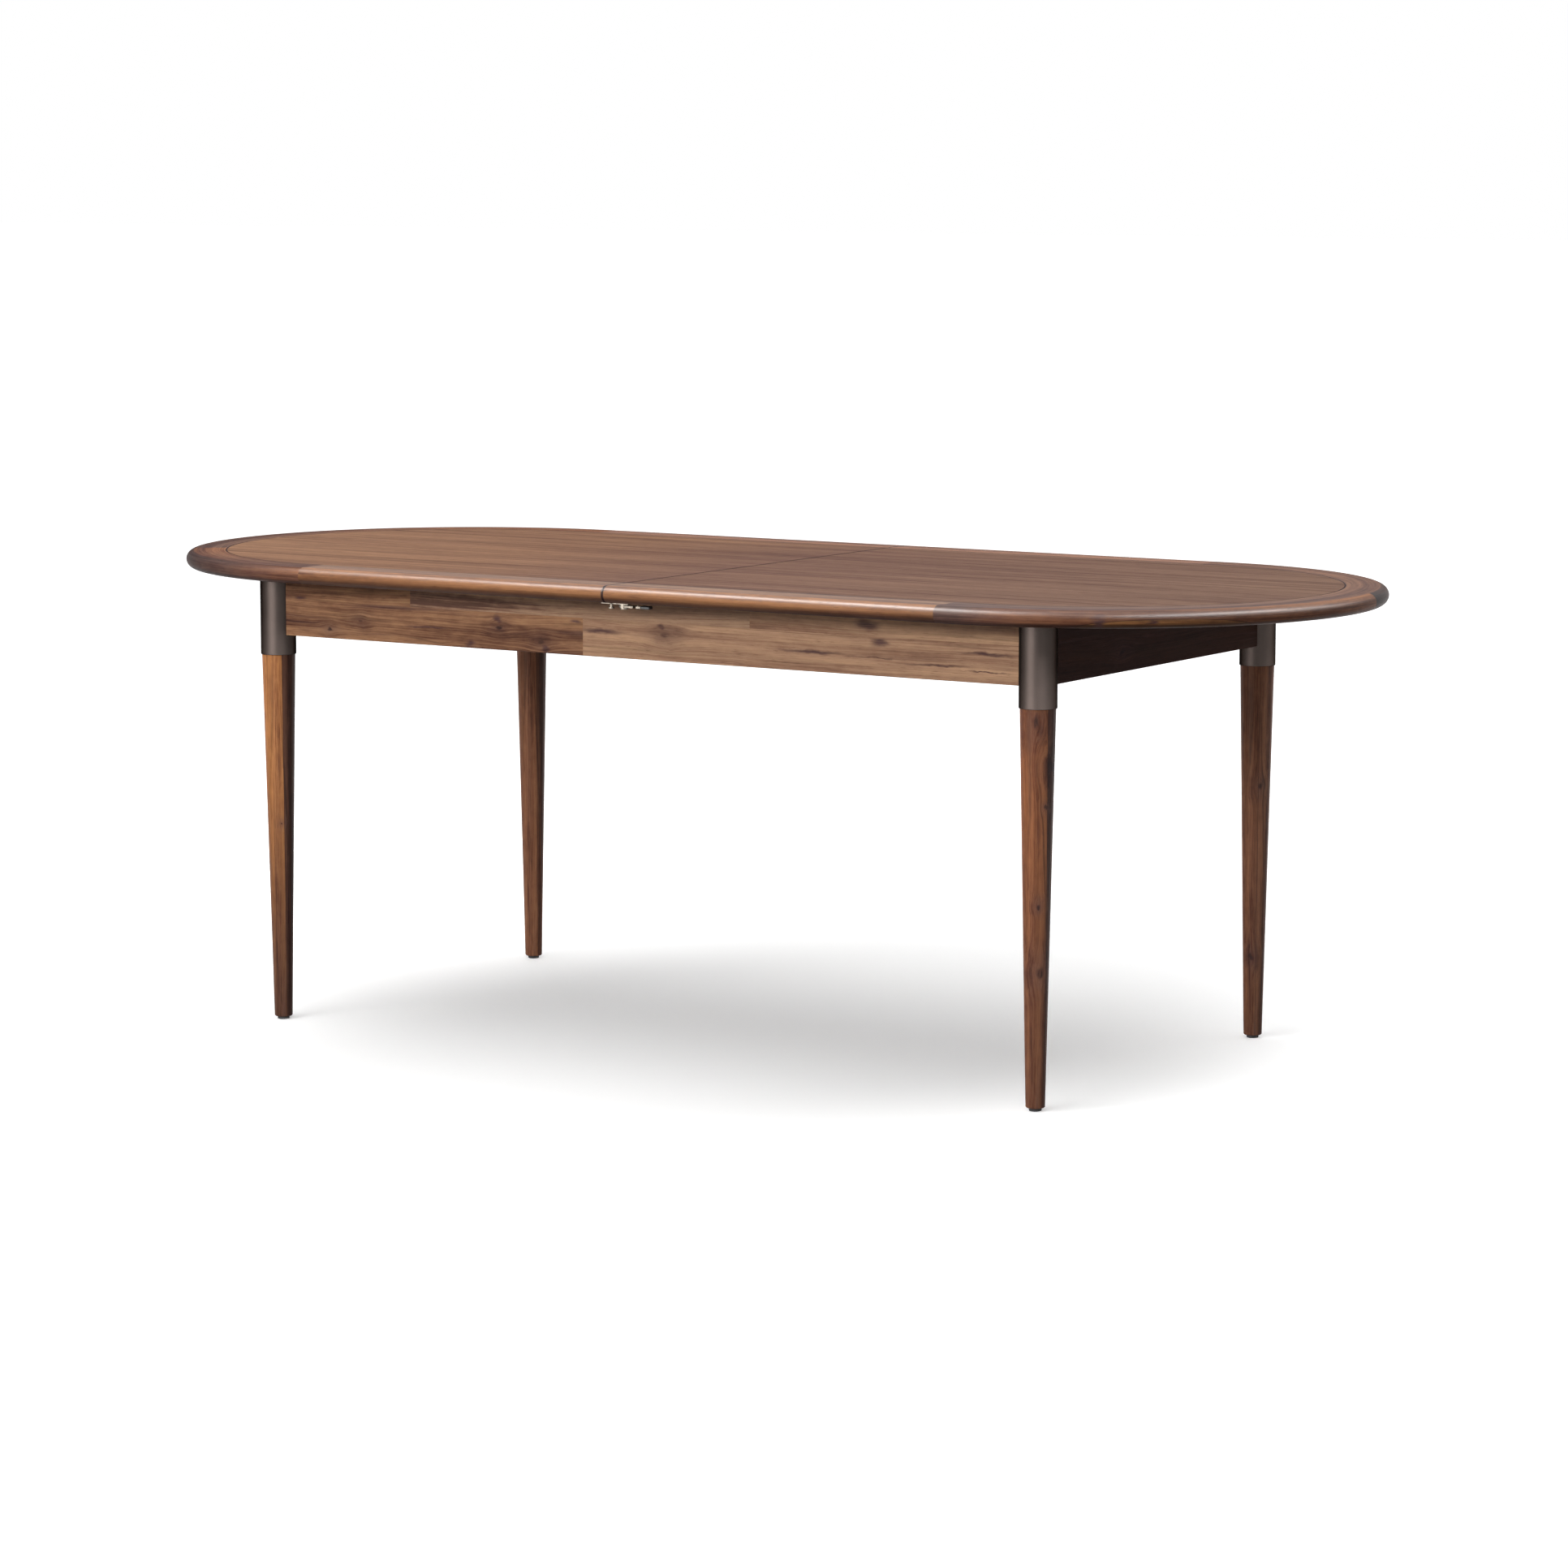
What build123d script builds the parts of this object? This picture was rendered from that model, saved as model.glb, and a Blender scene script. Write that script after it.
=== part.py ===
from build123d import *
from math import acos, ceil, cos, pi, radians, sin, sqrt, tan
import os

# Extendable dining table: a fixed four-legged base under two half tops that slide apart along X,
# held in step by a rack and pinion slide set at the front and at the rear. A two-piece leaf is
# stored folded in the base. Millimetres. +X right, -Y front, +Z up, floor at Z = 0, origin in the middle.

# Table top
TOP_LENGTH = 2134.0
TOP_WIDTH = 914.0
TABLE_HEIGHT = 762.0
TOP_THICKNESS = 27.0
RIM_WIDTH = 67.0
GROOVE = 0.8  # leg of the small bevels along the rim joints and the centre seam
SEAM_GAP = 0.8
RIM_JOINT_BEFORE_CURVE = 16.0  # the short straight stretch at the start of each curved rim
RIGHT_TIP_JOINT = 9.0  # degrees from the +X tip, towards the rear
LEFT_TIP_JOINT = 213.0  # degrees, counted the same way round
REAR_TURN = 90.0  # the direction of the rear, in the same degrees
FRONT_TURN = 270.0
FULL_TURN = 360.0
LEAF_LENGTH = 508.0

# Base
LEG_FROM_TIP = 351.0
LEG_FROM_SIDE = 101.0
FERRULE_RADIUS = 29.0
FERRULE_WALL = 1.7
FERRULE_LENGTH = 125.5
FERRULE_EDGE = 0.6
LEG_FOOT_RADIUS = 14.8
LEG_FOOT_CHAMFER = 1.4
GLIDE_RADIUS = 9.8
GLIDE_HEIGHT = 5.0
GLIDE_EDGE = 1.2
GLIDE_STEM_RADIUS = 2.5
GLIDE_STEM_LENGTH = 18.0
APRON_THICKNESS = 25.0
APRON_HEIGHT = 93.0
APRON_EDGE = 1.5
TOP_CLEARANCE = 1.5  # from the base up to the underside of the top
COPE_CLEARANCE = 0.15

# Leg fixing
BLOCK_NEAR = 28.0  # where a corner block meets the aprons, from their inner corner
BLOCK_FAR = 62.0
BLOCK_ABOVE_APRON_BOTTOM = 4.5
BOLT_RADIUS = 4.0
BOLT_START = 5.0  # from the leg's axis
BOLT_TAIL = 5.0  # past the nut
WASHER_RADIUS = 9.0
WASHER_THICKNESS = 1.6
NUT_FLATS = 13.0
NUT_THICKNESS = 6.5

# Slides
SLIDE_OFF_MIDDLE = 3.25  # towards the apron, from midway between it and the stored leaf's hinges
SLIDE_HEIGHT = 43.5
RAIL_WIDTH = 24.0
RAIL_TENON_WIDTH = 12.0
RAIL_TENON_LENGTH = 10.0
RAIL_TENON_INSET = 8.0
MOVER_WIDTH = 24.0
SLIDE_CLEARANCE = 0.5
TONGUE_DEPTH = 6.0
TONGUE_HEIGHT = 10.0
TONGUE_BELOW_TOP = 7.5
MOVER_END_CLEARANCE = 4.5
RACK_END_COVER = 3.5
SEAM_STANDOFF = 20.0  # from the centre seam to the seating pad on top of a mover

# Gears
GEAR_MODULE = 2.0
PINION_TEETH = 16
PRESSURE_ANGLE = radians(20)
PINION_ADDENDUM = 2.0
PINION_DEDENDUM = 2.5
RACK_ADDENDUM = 1.7
RACK_DEDENDUM = 2.5
GEAR_BACKLASH = 0.24
RACK_THICKNESS = 10.0
RACK_BODY = 4.0  # behind the tooth roots
RACK_BOTTOM_ABOVE_SLIDE = 9.0
RACK_TEETH_BEHIND = 3
RACK_TEETH_SPARE = 3
PINION_PIN_RADIUS = 3.0
RUNNING_CLEARANCE = 0.06
PINION_END_PLAY = 0.3
WINDOW_CLEARANCE = 1.5
FLANK_POINTS = 5

# Stiffeners under the half tops, and their screws
BATTEN_FROM_LEG = 84.0
BATTEN_WIDTH = 50.0
BATTEN_THICKNESS = 12.0
BATTEN_LENGTH = 420.0
SCREW_RADIUS = 2.0
SCREW_HEAD_RADIUS = 4.5
SCREW_HEAD_HEIGHT = 3.0
SCREW_BITE = 17.0  # into the top
BATTEN_SCREW_SPACING = 180.0
MOVER_SCREW_END = 15.0
MOVER_SCREW_SEAT = 22.0  # depth of the counterbore from below
COUNTERBORE_CLEARANCE = 1.0
MOVER_SCREW_COUNT = 3
PAD_WIDTH = 18.0  # of the nylon pads on the end aprons
PAD_LENGTH = 60.0
PAD_Y = 190.0

# Alignment pins across the centre seam
PIN_ROWS = (110.0, 330.0)
PIN_RADIUS = 4.0
PIN_SEAT = 25.0
PIN_REACH = 9.0
PIN_NOSE = 1.5
SOCKET_CLEARANCE = 0.3

# Cross rails and the stored leaf
CROSS_RAIL_THICKNESS = 18.0
CROSS_RAIL_HOUSING = 6.0
CROSS_RAIL_TO_LEAF = 12.4
SLIDE_TO_CROSS_RAIL = 2.0
LEAF_BELOW_TOP = 32.0
LEAF_FACE_GAP = 0.5
REST_WIDTH = 26.0
REST_LENGTH = 400.0
REST_HEIGHT = 7.0
HINGE_COUNT = 3
HINGE_SPACING = 180.0
HINGE_CUP_LENGTH = 44.0
HINGE_CUP_DEPTH = 14.0
HINGE_CUP_HEIGHT = 14.0
HINGE_LINK_LENGTH = 16.0
HINGE_LINK_THICKNESS = 5.5
PLATE_THICKNESS = 3.0
EAR_WIDTH = 24.0
EAR_INSET = 10.0  # from the leaf's end
EAR_FOOT = 28.0
PIVOT_RADIUS = 4.0
PIVOT_MARGIN = 8.0
BRACKET_LAP = 28.0  # down the inner face of a cross rail

# Seam locks under the front and rear rims
LOCK_FROM_EDGE = 39.0
LOCK_PIVOT_X = 15.0
STUD_X = 9.0
LOCK_PLATE_THICKNESS = 2.5
LOCK_PLATE_WIDTH = 30.0
LOCK_PLATE_MARGIN = 1.1
LOCK_PLATE_END = 32.0
KEEPER_END = 20.0
LOCK_BOSS_RADIUS = 8.0
LOCK_BOSS_HEIGHT = 2.5
LOCK_POST_RADIUS = 3.2
LOCK_HEAD_RADIUS = 6.5
LOCK_HEAD_HEIGHT = 2.9
LEVER_THICKNESS = 3.0
LEVER_END_PLAY = 0.3
LEVER_WIDTH = 13.0
LEVER_LENGTH = 34.0
GRIP_LENGTH = 16.0
GRIP_WIDTH = 11.0
GRIP_THICKNESS = 5.0
STUD_RADIUS = 2.5
STUD_HEAD_RADIUS = 4.5
STUD_HEAD_HEIGHT = 2.5
STUD_CLEARANCE = 0.4
STUD_HEAD_DROP = 0.7  # from the lever down to the stud's head
SLOT_TURN = 40.0  # degrees of the lever's open-ended slot, round its pivot

# Worked out from the sizes above
END_RADIUS = TOP_WIDTH / 2
END_CENTRE_X = TOP_LENGTH / 2 - END_RADIUS
RIM_JOINT_X = END_CENTRE_X - RIM_JOINT_BEFORE_CURVE
PANEL_RADIUS = END_RADIUS - RIM_WIDTH
UNDERSIDE = TABLE_HEIGHT - TOP_THICKNESS
BASE_TOP = UNDERSIDE - TOP_CLEARANCE
FERRULE_BOTTOM = BASE_TOP - FERRULE_LENGTH
APRON_BOTTOM = BASE_TOP - APRON_HEIGHT
BLOCK_BOTTOM = APRON_BOTTOM + BLOCK_ABOVE_APRON_BOTTOM
TRAVEL = LEAF_LENGTH / 2
SLIDE_BOTTOM = BASE_TOP - SLIDE_HEIGHT
LEG_X = TOP_LENGTH / 2 - LEG_FROM_TIP
LEG_Y = END_RADIUS - LEG_FROM_SIDE
APRON_INNER_X = LEG_X - APRON_THICKNESS / 2
APRON_INNER_Y = LEG_Y - APRON_THICKNESS / 2
LEAF_FOLD_Y = END_RADIUS / 2
SLIDE_SPREAD = (LEAF_FOLD_Y + HINGE_LINK_THICKNESS + APRON_INNER_Y) / 2 + SLIDE_OFF_MIDDLE
BATTEN_X = LEG_X + BATTEN_FROM_LEG
BLOCK_TOP = SLIDE_BOTTOM - SLIDE_TO_CROSS_RAIL
BOLT_Z = (BLOCK_BOTTOM + BLOCK_TOP) / 2
NUT_FACE = (APRON_THICKNESS + BLOCK_FAR) / sqrt(2) + WASHER_THICKNESS  # from the leg's axis
PITCH_RADIUS = GEAR_MODULE * PINION_TEETH / 2
RACK_PITCH = pi * GEAR_MODULE
RACK_BOTTOM = SLIDE_BOTTOM + RACK_BOTTOM_ABOVE_SLIDE
RACK_ROOT = PITCH_RADIUS + RACK_DEDENDUM
RACK_BACK = RACK_ROOT + RACK_BODY
RACK_TEETH_AHEAD = ceil(TRAVEL / RACK_PITCH + RACK_TEETH_SPARE)
RACK_START = -RACK_TEETH_BEHIND * RACK_PITCH
RACK_END = RACK_TEETH_AHEAD * RACK_PITCH
MOVER_FACE = RAIL_WIDTH / 2 + SLIDE_CLEARANCE
MOVER_OUTER_END = APRON_INNER_X - TRAVEL - MOVER_END_CLEARANCE
MOVER_INNER_END = RACK_END + RACK_END_COVER
TONGUE_TOP = BASE_TOP - TONGUE_BELOW_TOP
LEAF_END_X = TRAVEL - SEAM_GAP / 2
LEAF_PIVOT_Y = END_RADIUS / 4
LEAF_STACK_TOP = UNDERSIDE - LEAF_BELOW_TOP
LEAF_PIVOT_Z = (UNDERSIDE + LEAF_STACK_TOP) / 2
LEAF_STACK_BOTTOM = LEAF_STACK_TOP - 2 * TOP_THICKNESS - LEAF_FACE_GAP
CROSS_RAIL_INNER_X = LEAF_END_X + CROSS_RAIL_TO_LEAF
LOCK_PLATE_BOTTOM = UNDERSIDE - LOCK_PLATE_THICKNESS
LEVER_TOP = LOCK_PLATE_BOTTOM - LOCK_BOSS_HEIGHT - LEVER_END_PLAY
LEVER_BOTTOM = LEVER_TOP - LEVER_THICKNESS
STUD_REACH = LOCK_PIVOT_X + STUD_X
LOCK_Y = END_RADIUS - LOCK_FROM_EDGE

SIDES = {"left": -1, "right": 1}
ENDS = {"front": -1, "rear": 1}
CORNERS = [(end, side) for end in ENDS for side in SIDES]

os.makedirs("parts", exist_ok=True)


def save(piece, name):
    """Label a finished piece and write it under its node's name."""
    piece.label = name
    export_step(piece, f"parts/{name}.step")


# ---------------------------------------------------------------- legs, ferrules and glides
def make_leg(x, y, inward):
    """A tapered round leg with a plain cylinder inside its ferrule."""
    top_radius = FERRULE_RADIUS - FERRULE_WALL
    with BuildPart() as leg:
        with BuildSketch(Plane(origin=(x, y, 0), x_dir=(1, 0, 0), z_dir=(0, -1, 0))):
            Polygon(
                (0, GLIDE_HEIGHT),
                (LEG_FOOT_RADIUS - LEG_FOOT_CHAMFER, GLIDE_HEIGHT),
                (LEG_FOOT_RADIUS, GLIDE_HEIGHT + LEG_FOOT_CHAMFER),
                (top_radius, FERRULE_BOTTOM),
                (top_radius, BASE_TOP),
                (0, BASE_TOP),
                align=None,
            )
        revolve(axis=Axis((x, y, 0), (0, 0, 1)))
        with BuildSketch(Plane.XY.offset(GLIDE_HEIGHT)):
            with Locations((x, y)):
                Circle(GLIDE_STEM_RADIUS)
        extrude(amount=GLIDE_STEM_LENGTH, mode=Mode.SUBTRACT)
        with BuildSketch(inward.offset(BOLT_START)):
            Circle(BOLT_RADIUS)
        extrude(amount=FERRULE_RADIUS, mode=Mode.SUBTRACT)
    return leg.part


def make_ferrule(x, y, inward):
    """A thin metal sleeve round the head of a leg, drilled for the hanger bolt."""
    with BuildPart() as ferrule:
        with BuildSketch(Plane.XY.offset(FERRULE_BOTTOM)):
            with Locations((x, y)):
                Circle(FERRULE_RADIUS)
                Circle(FERRULE_RADIUS - FERRULE_WALL, mode=Mode.SUBTRACT)
        extrude(amount=BASE_TOP - FERRULE_BOTTOM)
        rims = ferrule.edges().filter_by(GeomType.CIRCLE).group_by(Axis.Z)
        fillet([rims[0].sort_by(SortBy.RADIUS)[-1], rims[-1].sort_by(SortBy.RADIUS)[-1]], FERRULE_EDGE)
        with BuildSketch(inward):
            Circle(BOLT_RADIUS)
        extrude(amount=2 * FERRULE_RADIUS, mode=Mode.SUBTRACT)
    return ferrule.part


def make_glide(x, y):
    """A round foot with a stem pressed into the leg."""
    with BuildPart() as glide:
        with BuildSketch(Plane.XY):
            with Locations((x, y)):
                Circle(GLIDE_RADIUS)
        extrude(amount=GLIDE_HEIGHT)
        fillet(glide.edges().group_by(Axis.Z)[0], GLIDE_EDGE)
        with BuildSketch(Plane.XY.offset(GLIDE_HEIGHT)):
            with Locations((x, y)):
                Circle(GLIDE_STEM_RADIUS)
        extrude(amount=GLIDE_STEM_LENGTH)
    return glide.part


glides = []
for end, side in CORNERS:
    leg_x = SIDES[side] * LEG_X
    leg_y = ENDS[end] * LEG_Y
    inward = Plane(origin=(leg_x, leg_y, BOLT_Z), x_dir=(0, 0, 1), z_dir=(-SIDES[side], -ENDS[end], 0))
    save(make_leg(leg_x, leg_y, inward), f"{end}_{side}_leg")
    save(make_ferrule(leg_x, leg_y, inward), f"{end}_{side}_ferrule")
    glides.append(make_glide(leg_x, leg_y))
save(Compound(children=glides), "leg_glides")


# ---------------------------------------------------------------- aprons
def cut_copes(legs):
    """The round bites that let an apron's ends sit against the ferrules, as one cutting solid."""
    with BuildPart(mode=Mode.PRIVATE) as cutter:
        with BuildSketch(Plane.XY.offset(APRON_BOTTOM)):
            with Locations(*legs):
                Circle(FERRULE_RADIUS + COPE_CLEARANCE)
        extrude(amount=BASE_TOP - APRON_BOTTOM)
    return cutter.part


for end, y_sign in ENDS.items():
    with BuildPart() as apron:
        with BuildSketch(Plane.XY.offset(APRON_BOTTOM)):
            with Locations((0, y_sign * LEG_Y)):
                Rectangle(2 * LEG_X - FERRULE_RADIUS, APRON_THICKNESS)
        extrude(amount=BASE_TOP - APRON_BOTTOM)
        fillet(apron.edges().filter_by(Axis.X).group_by(Axis.Z)[0], APRON_EDGE)
        add(cut_copes([(-LEG_X, y_sign * LEG_Y), (LEG_X, y_sign * LEG_Y)]), mode=Mode.SUBTRACT)
        housing_y = y_sign * (APRON_INNER_Y + CROSS_RAIL_HOUSING / 2)
        rail_x = CROSS_RAIL_INNER_X + CROSS_RAIL_THICKNESS / 2
        with BuildSketch(Plane.XY.offset(BLOCK_BOTTOM)):
            with Locations((-rail_x, housing_y), (rail_x, housing_y)):
                Rectangle(CROSS_RAIL_THICKNESS, CROSS_RAIL_HOUSING)
        extrude(amount=BLOCK_TOP - BLOCK_BOTTOM, mode=Mode.SUBTRACT)
    save(apron.part, f"{end}_apron")

for side, x_sign in SIDES.items():
    with BuildPart() as apron:
        with BuildSketch(Plane.XY.offset(APRON_BOTTOM)):
            with Locations((x_sign * LEG_X, 0)):
                Rectangle(APRON_THICKNESS, 2 * LEG_Y - FERRULE_RADIUS)
        extrude(amount=BASE_TOP - APRON_BOTTOM)
        fillet(apron.edges().filter_by(Axis.Y).group_by(Axis.Z)[0], APRON_EDGE)
        add(cut_copes([(x_sign * LEG_X, -LEG_Y), (x_sign * LEG_X, LEG_Y)]), mode=Mode.SUBTRACT)
        mortise_x = x_sign * (APRON_INNER_X + RAIL_TENON_LENGTH / 2)
        with BuildSketch(Plane.XY.offset(SLIDE_BOTTOM + RAIL_TENON_INSET)):
            with Locations((mortise_x, -SLIDE_SPREAD), (mortise_x, SLIDE_SPREAD)):
                Rectangle(RAIL_TENON_LENGTH, RAIL_TENON_WIDTH)
        extrude(amount=SLIDE_HEIGHT - 2 * RAIL_TENON_INSET, mode=Mode.SUBTRACT)
    save(apron.part, f"{side}_apron")


# ---------------------------------------------------------------- corner blocks and hanger bolts
def make_block(x_sign, y_sign, inward):
    """A wedge glued across the inner corner of two aprons, drilled for the hanger bolt."""
    with BuildPart() as block:
        with BuildSketch(Plane.XY.offset(BLOCK_BOTTOM)):
            Polygon(
                (x_sign * APRON_INNER_X, y_sign * (APRON_INNER_Y - BLOCK_NEAR)),
                (x_sign * APRON_INNER_X, y_sign * (APRON_INNER_Y - BLOCK_FAR)),
                (x_sign * (APRON_INNER_X - BLOCK_FAR), y_sign * APRON_INNER_Y),
                (x_sign * (APRON_INNER_X - BLOCK_NEAR), y_sign * APRON_INNER_Y),
                align=None,
            )
        extrude(amount=BLOCK_TOP - BLOCK_BOTTOM)
        with BuildSketch(inward):
            Circle(BOLT_RADIUS)
        extrude(amount=2 * BLOCK_FAR, mode=Mode.SUBTRACT)
    return block.part


def make_bolt(inward):
    """A hanger bolt from inside the leg to just past its nut."""
    with BuildPart() as bolt:
        with BuildSketch(inward.offset(BOLT_START)):
            Circle(BOLT_RADIUS)
        extrude(amount=NUT_FACE + NUT_THICKNESS + BOLT_TAIL - BOLT_START)
    return bolt.part


def make_washer(inward):
    """A flat washer on the inner face of a corner block."""
    with BuildPart() as washer:
        with BuildSketch(inward.offset(NUT_FACE - WASHER_THICKNESS)):
            Circle(WASHER_RADIUS)
            Circle(BOLT_RADIUS, mode=Mode.SUBTRACT)
        extrude(amount=WASHER_THICKNESS)
    return washer.part


def make_nut(inward):
    """A hexagon nut on the washer."""
    with BuildPart() as nut:
        with BuildSketch(inward.offset(NUT_FACE)):
            RegularPolygon(NUT_FLATS / 2, 6, major_radius=False)
            Circle(BOLT_RADIUS, mode=Mode.SUBTRACT)
        extrude(amount=NUT_THICKNESS)
    return nut.part


blocks = []
bolts = []
nuts = []
for end, side in CORNERS:
    x_sign = SIDES[side]
    y_sign = ENDS[end]
    inward = Plane(
        origin=(x_sign * LEG_X, y_sign * LEG_Y, BOLT_Z), x_dir=(0, 0, 1), z_dir=(-x_sign, -y_sign, 0)
    )
    blocks.append(make_block(x_sign, y_sign, inward))
    bolts.append(make_bolt(inward))
    nuts += [make_washer(inward), make_nut(inward)]
save(Compound(children=blocks), "corner_blocks")
save(Compound(children=bolts), "hanger_bolts")
save(Compound(children=nuts), "hanger_nuts_and_washers")

# ---------------------------------------------------------------- cross rails and runner pads
cross_rails = []
for x_sign in SIDES.values():
    with BuildPart() as cross_rail:
        with BuildSketch(Plane.XY.offset(BLOCK_BOTTOM)):
            with Locations((x_sign * (CROSS_RAIL_INNER_X + CROSS_RAIL_THICKNESS / 2), 0)):
                Rectangle(CROSS_RAIL_THICKNESS, 2 * (APRON_INNER_Y + CROSS_RAIL_HOUSING))
        extrude(amount=BLOCK_TOP - BLOCK_BOTTOM)
    cross_rails.append(cross_rail.part)
save(Compound(children=cross_rails), "cross_rails")

with BuildPart() as runner_pads:
    with BuildSketch(Plane.XY.offset(BASE_TOP)):
        with GridLocations(2 * LEG_X, 2 * PAD_Y, 2, 2):
            Rectangle(PAD_WIDTH, PAD_LENGTH)
    extrude(amount=TOP_CLEARANCE)
save(runner_pads.part, "runner_pads")


# ---------------------------------------------------------------- slide sets
def make_rail(y_axis):
    """The fixed middle slide: tongued on both sides, tenoned into the end aprons, with a pinion window."""
    with BuildPart() as rail:
        with BuildSketch(Plane.YZ.offset(-APRON_INNER_X)):
            with Locations((y_axis, SLIDE_BOTTOM + SLIDE_HEIGHT / 2)):
                Rectangle(RAIL_WIDTH, SLIDE_HEIGHT)
            with Locations((y_axis, TONGUE_TOP - TONGUE_HEIGHT / 2)):
                Rectangle(RAIL_WIDTH + 2 * TONGUE_DEPTH, TONGUE_HEIGHT)
        extrude(amount=2 * APRON_INNER_X)
        with BuildSketch(Plane.YZ.offset(-APRON_INNER_X - RAIL_TENON_LENGTH)):
            with Locations((y_axis, SLIDE_BOTTOM + SLIDE_HEIGHT / 2)):
                Rectangle(RAIL_TENON_WIDTH, SLIDE_HEIGHT - 2 * RAIL_TENON_INSET)
        extrude(amount=2 * (APRON_INNER_X + RAIL_TENON_LENGTH))
        window = PITCH_RADIUS + PINION_ADDENDUM + WINDOW_CLEARANCE
        with BuildSketch(Plane.XY.offset(RACK_BOTTOM - PINION_END_PLAY)):
            with Locations((0, y_axis)):
                Rectangle(2 * window, RAIL_WIDTH + 2 * TONGUE_DEPTH)
        extrude(amount=RACK_THICKNESS + 2 * PINION_END_PLAY, mode=Mode.SUBTRACT)
        with BuildSketch(Plane.XY.offset(SLIDE_BOTTOM)):
            with Locations((0, y_axis)):
                Circle(PINION_PIN_RADIUS)
        extrude(amount=SLIDE_HEIGHT, mode=Mode.SUBTRACT)
    return rail.part


def make_pinion_pin(y_axis):
    """The upright pin that the pinion turns on, flush with the rail above and below."""
    with BuildPart() as pin:
        with BuildSketch(Plane.XY.offset(SLIDE_BOTTOM)):
            with Locations((0, y_axis)):
                Circle(PINION_PIN_RADIUS)
        extrude(amount=SLIDE_HEIGHT)
    return pin.part


def involute(angle):
    return tan(angle) - angle


def pinion_outline():
    """Points round the pinion: each tooth rises and falls along sampled involutes."""
    base_radius = PITCH_RADIUS * cos(PRESSURE_ANGLE)
    tip_radius = PITCH_RADIUS + PINION_ADDENDUM
    root_radius = PITCH_RADIUS - PINION_DEDENDUM
    half_at_base = pi / (2 * PINION_TEETH) + involute(PRESSURE_ANGLE)
    flank = [(root_radius, half_at_base)]
    for step in range(FLANK_POINTS):
        radius = base_radius + (tip_radius - base_radius) * step / (FLANK_POINTS - 1)
        roll = acos(min(1.0, base_radius / radius))
        flank.append((radius, half_at_base - involute(roll)))
    points = []
    for tooth in range(PINION_TEETH):
        middle = 2 * pi * tooth / PINION_TEETH
        sides = [(r, middle - half) for r, half in flank] + [(r, middle + half) for r, half in flank[::-1]]
        points += [(r * cos(turn), r * sin(turn)) for r, turn in sides]
    return points


def make_pinion(y_axis):
    """A spur pinion with a running fit on its pin."""
    with BuildPart() as pinion:
        with BuildSketch(Plane.XY.offset(RACK_BOTTOM + PINION_END_PLAY)):
            with Locations((0, y_axis)):
                Polygon(*pinion_outline(), align=None)
                Circle(PINION_PIN_RADIUS + RUNNING_CLEARANCE, mode=Mode.SUBTRACT)
        extrude(amount=RACK_THICKNESS - 2 * PINION_END_PLAY)
    return pinion.part


def rack_outline():
    """Points along a rack as (distance ahead of the pinion, distance from its axis)."""
    half_at_pitch = RACK_PITCH / 4 - GEAR_BACKLASH / 2
    half_at_tip = half_at_pitch - RACK_ADDENDUM * tan(PRESSURE_ANGLE)
    half_at_root = half_at_pitch + RACK_DEDENDUM * tan(PRESSURE_ANGLE)
    tip = PITCH_RADIUS - RACK_ADDENDUM
    points = [(RACK_END, RACK_ROOT), (RACK_END, RACK_BACK), (RACK_START, RACK_BACK), (RACK_START, RACK_ROOT)]
    for tooth in range(-RACK_TEETH_BEHIND, RACK_TEETH_AHEAD):
        middle = (tooth + 0.5) * RACK_PITCH
        points += [
            (middle - half_at_root, RACK_ROOT),
            (middle - half_at_tip, tip),
            (middle + half_at_tip, tip),
            (middle + half_at_root, RACK_ROOT),
        ]
    return points


def make_rack(x_sign, y_axis):
    """The toothed strip in a mover, reaching inwards from under its own half top."""
    with BuildPart() as rack:
        with BuildSketch(Plane.XY.offset(RACK_BOTTOM)):
            Polygon(*[(-x_sign * ahead, y_axis + x_sign * out) for ahead, out in rack_outline()], align=None)
        extrude(amount=RACK_THICKNESS)
    return rack.part


def mover_screw_places(x_sign, y_axis):
    """Where a mover is screwed to its half top, evenly spaced along its seating pad."""
    first = SEAM_STANDOFF + MOVER_SCREW_END
    spacing = (MOVER_OUTER_END - MOVER_SCREW_END - first) / (MOVER_SCREW_COUNT - 1)
    y = y_axis + x_sign * (MOVER_FACE + MOVER_WIDTH / 2)
    return [(x_sign * (first + spacing * index), y) for index in range(MOVER_SCREW_COUNT)]


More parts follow.
